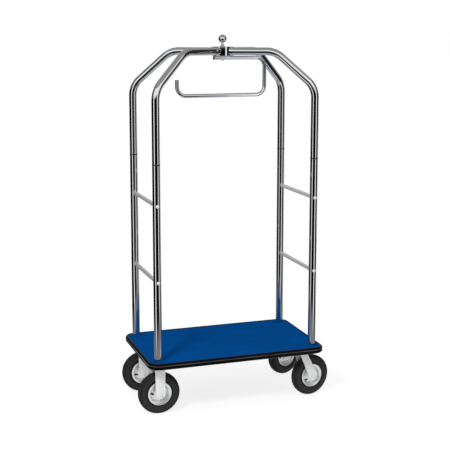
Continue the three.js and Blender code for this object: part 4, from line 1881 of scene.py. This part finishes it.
    def press_step(self, leg: Piece, top: float) -> None:
        """Set the head of a raked leg back, with a sloping step above the wheel.

        Args:
            leg: The front leg.
            top: The height of the fork's crown.
        """
        axle = Vector((self.trail, 0, self.wheel_radius))
        along = Vector((-self.trail, 0, top - self.wheel_radius)).normalized()
        across = along.cross(Vector((0, 1, 0)))
        face = self.fork_inside / 2 + self.fork_sheet
        reach = self.step_reach
        section = [(reach - self.step_slope / 2, face + self.step_depth / 2),
                   (reach + self.step_slope, face - self.step_depth), (2 * reach, face - self.step_depth),
                   (2 * reach, 2 * face), (reach - self.step_slope / 2, 2 * face)]
        start = axle - across * reach
        tool = Bench.slab("step_tool", [start + along * far - Vector((0, out, 0)) for far, out in section],
                          across * 2 * reach)
        Bench.close()
        Bench.work(leg, tool, Operation.CUT)

    def pair_of_legs(self, leg: Piece) -> Piece:
        """Make a fork's rear leg from its front one."""
        return Bench.copied(leg, "fork_leg_rear", Matrix.Scale(-1, 4, Vector((0, 1, 0))))

    def top_plate(self, name: str, top: float) -> Piece:
        """Make a caster's top plate with its four holes, under a level.

        Args:
            name: The piece's name.
            top: The height of the plate's top.

        Returns:
            The new piece.
        """
        half = Vector((self.plate_length / 2, self.plate_width / 2, 0))
        low = Vector((-half.x, -half.y, top - self.plate_sheet))
        high = Vector((half.x, half.y, top))
        plate = Bench.rounded_plate(name, low, high, self.plate_corner, 6)
        for x in (-half.x + self.hole_inset, half.x - self.hole_inset):
            for y in (-half.y + self.hole_inset, half.y - self.hole_inset):
                hole = Bench.rod("plate_hole", self.hole_radius, 0, 1, 24)
                Bench.place(hole, Matrix.Translation((x, y, 0)))
                Bench.work(plate, hole, Operation.CUT)
        return plate

    def rigid_forks(self, places: list[WheelPlace]) -> None:
        """Make a rigid fork: top plate and two straight legs.

        Args:
            places: Where the casters stand.
        """
        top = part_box("rigid_fork_front_left")[1].z
        fork = self.top_plate("rigid_fork_master", top)
        leg = self.leg(0, top - self.plate_sheet / 2, self.leg_width + self.leg_flare)
        rear = self.pair_of_legs(leg)
        Bench.work(fork, leg, Operation.WELD)
        Bench.work(fork, rear, Operation.WELD)
        Bench.ease(fork, self.fork_edge, segments=2, angle=50)
        Bench.polish(fork, angle=32)
        for place in places:
            twin = Bench.copied(fork, f"rigid_fork_piece_{place.corner.value}", place.caster)
            self.finishes.dress(twin, "zinc", Body.FRAME.value, f"rigid_fork_{place.corner.value}")
        Bench.put_away(fork)

    def swivel_plates(self, places: list[WheelPlace]) -> None:
        """Make a swivel plate with its ball race.

        Args:
            places: Where the casters stand.
        """
        low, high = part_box("swivel_plate_front_right")
        plate = self.top_plate("swivel_plate_master", high.z)
        rim = self.race_radius
        seat = high.z - self.plate_sheet / 2
        waist = rim * 0.96
        lower = [(0, low.z), (rim * 0.8, low.z), (rim * 0.93, low.z + 0.0008), (rim, low.z + 0.003)]
        upper = [(waist, low.z + 0.0042), (waist, low.z + 0.005), (rim, low.z + 0.0062), (rim * 0.97, seat)]
        race = Bench.turned("race", [*lower, *upper, (0, seat)], 40)
        Bench.work(plate, race, Operation.WELD)
        Bench.ease(plate, self.plate_edge, segments=2, angle=60)
        Bench.polish(plate, angle=32)
        for place in places:
            still = Matrix.Translation((place.pivot.x, place.pivot.y, 0))
            twin = Bench.copied(plate, f"swivel_plate_piece_{place.corner.value}", still)
            self.finishes.dress(twin, "zinc", Body.FRAME.value, f"swivel_plate_{place.corner.value}")
        Bench.put_away(plate)

    def swivel_forks(self, places: list[WheelPlace]) -> None:
        """Make a swivel fork: a crown plate and two raked legs with a pressed step below the crown.

        Args:
            places: Where the casters stand.
        """
        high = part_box("swivel_fork_front_right")[1]
        half = Vector((self.crown_length / 2, self.fork_inside / 2 + self.fork_sheet, 0))
        low = Vector((-half.x, -half.y, high.z - self.crown_sheet))
        far = Vector((half.x, half.y, high.z))
        fork = Bench.rounded_plate("swivel_fork_master", low, far, self.crown_corner, 6)
        leg = self.leg(self.trail, high.z - self.crown_sheet / 2, self.crown_length - 2 * self.crown_corner)
        self.press_step(leg, high.z)
        rear = self.pair_of_legs(leg)
        Bench.work(fork, leg, Operation.WELD)
        Bench.work(fork, rear, Operation.WELD)
        Bench.ease(fork, self.fork_edge, segments=2, angle=50)
        Bench.polish(fork, angle=32)
        for place in places:
            twin = Bench.copied(fork, f"swivel_fork_piece_{place.corner.value}", place.caster)
            self.finishes.dress(twin, "zinc", self.swivel_body(place), f"swivel_fork_{place.corner.value}")
        Bench.put_away(fork)

    def kingpins(self, places: list[WheelPlace]) -> None:
        """Turn the kingpin's riveted head.

        Args:
            places: Where the casters stand.
        """
        low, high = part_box("kingpin_front_right")
        head = (high.x - low.x) / 2
        seat = low.z + self.kingpin_head
        ease = self.kingpin_round
        dome = arc((head - ease, low.z + ease), ease, -80, 0, 5)
        pin = Bench.turned("kingpin_master", [
            (0, low.z + 0.0002), (head * 0.5, low.z), *dome, (head, seat), (self.axle_radius, seat),
            (self.axle_radius, high.z), (0, high.z)], 36)
        Bench.polish(pin, angle=36)
        for place in places:
            still = Matrix.Translation((place.pivot.x, place.pivot.y, 0))
            twin = Bench.copied(pin, f"kingpin_piece_{place.corner.value}", still)
            self.finishes.dress(twin, "zinc", Body.FRAME.value, f"kingpin_{place.corner.value}")
        Bench.put_away(pin)

    def plate_bolts(self, places: list[WheelPlace]) -> None:
        """Bolt each top plate to the board.

        Args:
            places: Where the casters stand.
        """
        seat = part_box("rigid_fork_front_left")[1].z - self.plate_sheet - self.plate_bolt_gap
        bolt = Fasteners.hex_bolt("plate_bolt_master", self.plate_bolt_head, self.plate_bolt_height,
                                  self.plate_bolt_shank, self.plate_sheet)
        x = self.plate_length / 2 - self.hole_inset
        y = self.plate_width / 2 - self.hole_inset
        for place in places:
            twins = []
            for sx, sy in ((-1, -1), (1, -1), (1, 1), (-1, 1)):
                move = Matrix.Translation((place.pivot.x + sx * x, place.pivot.y + sy * y, seat))
                twins.append(Bench.copied(bolt, f"plate_bolts_{place.corner.value}", move))
            bolts = Bench.joined(twins, f"plate_bolts_{place.corner.value}")
            self.finishes.dress(bolts, "zinc", Body.FRAME.value)
        Bench.put_away(bolt)


@dataclass(frozen=True)
class Panel:
    """A panel of the light tent: its two edges, in degrees round from the camera's side, and its level."""

    start: float
    end: float
    level: float


@dataclass
class Studio:
    """The photograph's camera, the pale floor, the lamps and the light tent that metal mirrors."""

    lens: float = 81.668
    eye: Triple = (-1.6350, -4.7805, 1.8555)
    tilt: float = 80.596
    pan: float = -18.695
    shift_x: float = 0.00553
    shift_y: float = -0.06
    round_steps: int = 96
    floor_radius: float = 1.9
    floor_drop: float = 0.0005
    floor_white: float = 1.04
    floor_light: float = 0.9
    floor_bounce: float = 0.85
    floor_shade: float = 0.26
    ambient: float = 0.6
    key_place: Triple = (-2.6, -2.6, 3.5)
    key_power: float = 120
    key_size: float = 0.9
    fill_place: Triple = (3.0, -2.2, 2.4)
    fill_power: float = 20
    fill_size: float = 2.0
    aim_height: float = 0.7
    tent_radius: float = 3.2
    tent_height: float = 4.2
    tent_foot: float = 0.002
    tent_split: float = 1.7
    tent_blend: float = 0.7
    ceiling_level: float = 0.28
    near_level: float = 0.75
    near_radius: float = 0.75
    ground_level: float = 0.2
    ground_start: float = 1.0
    ground_end: float = 1.4
    panel_start: float = 2.0
    camera_side: float = 270

    def build(self) -> None:
        """Set up the studio."""
        self.camera()
        self.floor()
        self.tent()
        self.lamp("key_lamp", self.key_place, self.key_size, self.key_power)
        self.lamp("fill_lamp", self.fill_place, self.fill_size, self.fill_power)
        self.world()
        bpy.context.scene.view_settings.view_transform = "Standard"

    def camera(self) -> None:
        """Stand the camera where the photograph was taken."""
        turn = (math.radians(self.tilt), 0, math.radians(self.pan))
        bpy.ops.object.camera_add(location=self.eye, rotation=turn)
        camera = bpy.context.active_object
        camera.name = "photo_camera"
        camera.data.lens = self.lens
        camera.data.shift_x = self.shift_x
        camera.data.shift_y = self.shift_y
        bpy.context.scene.camera = camera

    @staticmethod
    def shown(recipe: Recipe) -> Wire:
        """Tell, as 0 or 1, whether the camera, a mirror or a glass looks at a surface.

        Args:
            recipe: The surface's recipe.

        Returns:
            The answer.
        """
        rays = [recipe.node("ShaderNodeLightPath", None, None, f"Is {kind} Ray")
                for kind in ("Camera", "Glossy", "Transmission")]
        return recipe.clamp(rays[0] + rays[1] + rays[2])

    def floor(self) -> None:
        """Lay the pale floor, white to the camera and to mirrors except where the cart shades it."""
        Bench.clear()
        bpy.ops.mesh.primitive_circle_add(vertices=self.round_steps, radius=self.floor_radius,
                                          fill_type="NGON", location=(0, 0, -self.floor_drop))
        floor = Bench.named("studio_floor")
        bpy.ops.object.transform_apply(location=True, rotation=True, scale=True)
        material = bpy.data.materials.new("pale_floor")
        material.use_nodes = True
        recipe = Recipe(material.node_tree)
        plain = recipe.node("ShaderNodeBsdfDiffuse", None, {"Color": grey(self.floor_bounce)})
        shaded = recipe.node("ShaderNodeBsdfDiffuse", None, {"Color": grey(self.floor_shade)})
        strength = self.floor_white - self.floor_light * self.floor_shade
        lift = recipe.node("ShaderNodeEmission", None, {"Color": grey(1), "Strength": strength})
        white = recipe.node("ShaderNodeAddShader", None, {0: shaded, 1: lift})
        both = recipe.node("ShaderNodeMixShader", None, {0: self.shown(recipe), 1: plain, 2: white})
        recipe.node("ShaderNodeOutputMaterial", None, {"Surface": both})
        floor.data.materials.append(material)

    def lower_panels(self) -> list[Panel]:
        """List the panels that the uprights mirror."""
        return [Panel(-176, -150, 0.5), Panel(-140, -112, 0.02), Panel(-104, -56, 0), Panel(-49, -39, 1.05),
                Panel(-32, -10, 0.01), Panel(-4, 36, 0), Panel(43, 54, 1.0), Panel(61, 104, 0.01),
                Panel(116, 150, 0.45), Panel(158, 176, 0.7)]

    def upper_panels(self) -> list[Panel]:
        """List the panels that the top runs mirror."""
        return [Panel(-176, -130, 0.45), Panel(-110, -70, 0.1), Panel(-58, 58, 0.9), Panel(74, 118, 0.03),
                Panel(130, 176, 0.45)]

    def stops(self, panels: Sequence[Panel]) -> list[tuple[float, Colour]]:
        """List the panels' edges as stops of a ramp over a whole turn.

        Args:
            panels: The panels.

        Returns:
            The stops, as (position, colour) pairs.
        """
        facing = self.camera_side + self.pan
        edges = [(edge, panel.level) for panel in panels for edge in (panel.start, panel.end)]
        turned = sorted(((edge + facing) % FULL_DEGREES / FULL_DEGREES, level) for edge, level in edges)
        return [(share, grey(level)) for share, level in turned]

    def tent(self) -> None:
        """Put up the tent of light and dark panels, which only mirrors see."""
        Bench.clear()
        middle_height = self.tent_foot + self.tent_height / 2
        bpy.ops.mesh.primitive_cylinder_add(vertices=self.round_steps, radius=self.tent_radius,
                                            depth=self.tent_height, location=(0, 0, middle_height))
        tent = Bench.named("light_tent")
        bpy.ops.object.transform_apply(location=True, rotation=True, scale=True)
        material = bpy.data.materials.new("tent_panels")
        material.use_nodes = True
        material.cycles.emission_sampling = "NONE"
        recipe = Recipe(material.node_tree)
        east, north, height = recipe.parts()
        turn = recipe.math("FRACT", recipe.math("ARCTAN2", north, east) / FULL_TURN + 1, 0)
        ramps = [self.stops(panels) for panels in (self.lower_panels(), self.upper_panels())]
        lower, upper = [recipe.node("ShaderNodeValToRGB", {"stops": stops}, {"Fac": turn}, "Color")
                        for stops in ramps]
        wall = recipe.mix(recipe.clamp((height - self.tent_split) / self.tent_blend), lower, upper)
        reach = (east * east + north * north) ** 0.5
        leaving = recipe.clamp((reach - self.near_radius) / (self.ground_start - self.near_radius))
        far = recipe.clamp((reach - self.ground_end) / (self.panel_start - self.ground_end))
        near = recipe.mix(leaving, grey(self.near_level), grey(self.ground_level))
        ground = recipe.mix(far, near, lower)
        is_top = recipe.math("GREATER_THAN", height, self.tent_height)
        is_ground = recipe.math("LESS_THAN", height, 2 * self.tent_foot)
        level = recipe.mix(is_top, wall, grey(self.ceiling_level))
        level = recipe.mix(is_ground, level, ground)
        glow = recipe.node("ShaderNodeEmission", None, {"Color": level, "Strength": 1.0})
        recipe.node("ShaderNodeOutputMaterial", None, {"Surface": glow})
        tent.data.materials.append(material)
        tent.visible_camera = False
        tent.visible_diffuse = False
        tent.visible_transmission = False
        tent.visible_volume_scatter = False
        tent.visible_shadow = False

    def lamp(self, name: str, place: Triple, size: float, power: float) -> None:
        """Hang a soft lamp that faces the cart.

        Args:
            name: The lamp's name.
            place: Where it hangs.
            size: The length of its sides.
            power: Its power in watts.
        """
        aim = (Vector((0, 0, self.aim_height)) - Vector(place)).to_track_quat("-Z", "Y").to_euler()
        bpy.ops.object.light_add(type="AREA", location=place, rotation=aim)
        lamp = bpy.context.active_object
        lamp.name = name
        lamp.data.size = size
        lamp.data.energy = power
        lamp.visible_glossy = False

    def world(self) -> None:
        """Light the set evenly, white to the camera and to mirrors."""
        world = bpy.data.worlds.new("studio_world")
        world.use_nodes = True
        bpy.context.scene.world = world
        recipe = Recipe(world.node_tree)
        level = recipe.mix(self.shown(recipe), grey(self.ambient), grey(1))
        backdrop = recipe.node("ShaderNodeBackground", None, {"Color": level, "Strength": 1.0})
        recipe.node("ShaderNodeOutputWorld", None, {"Surface": backdrop})


def main() -> None:
    """Build the cart and its studio."""
    logging.basicConfig(level=logging.INFO, format="%(message)s")
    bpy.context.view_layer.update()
    Studio().build()
    finishes = Finishes()
    Deck(finishes).build()
    Posts(finishes).build()
    Rungs(finishes).build()
    Crown(finishes).build()
    GarmentRail(finishes).build()
    Casters(finishes).build()
    Bench.clear()


if __name__ == "__main__":
    main()
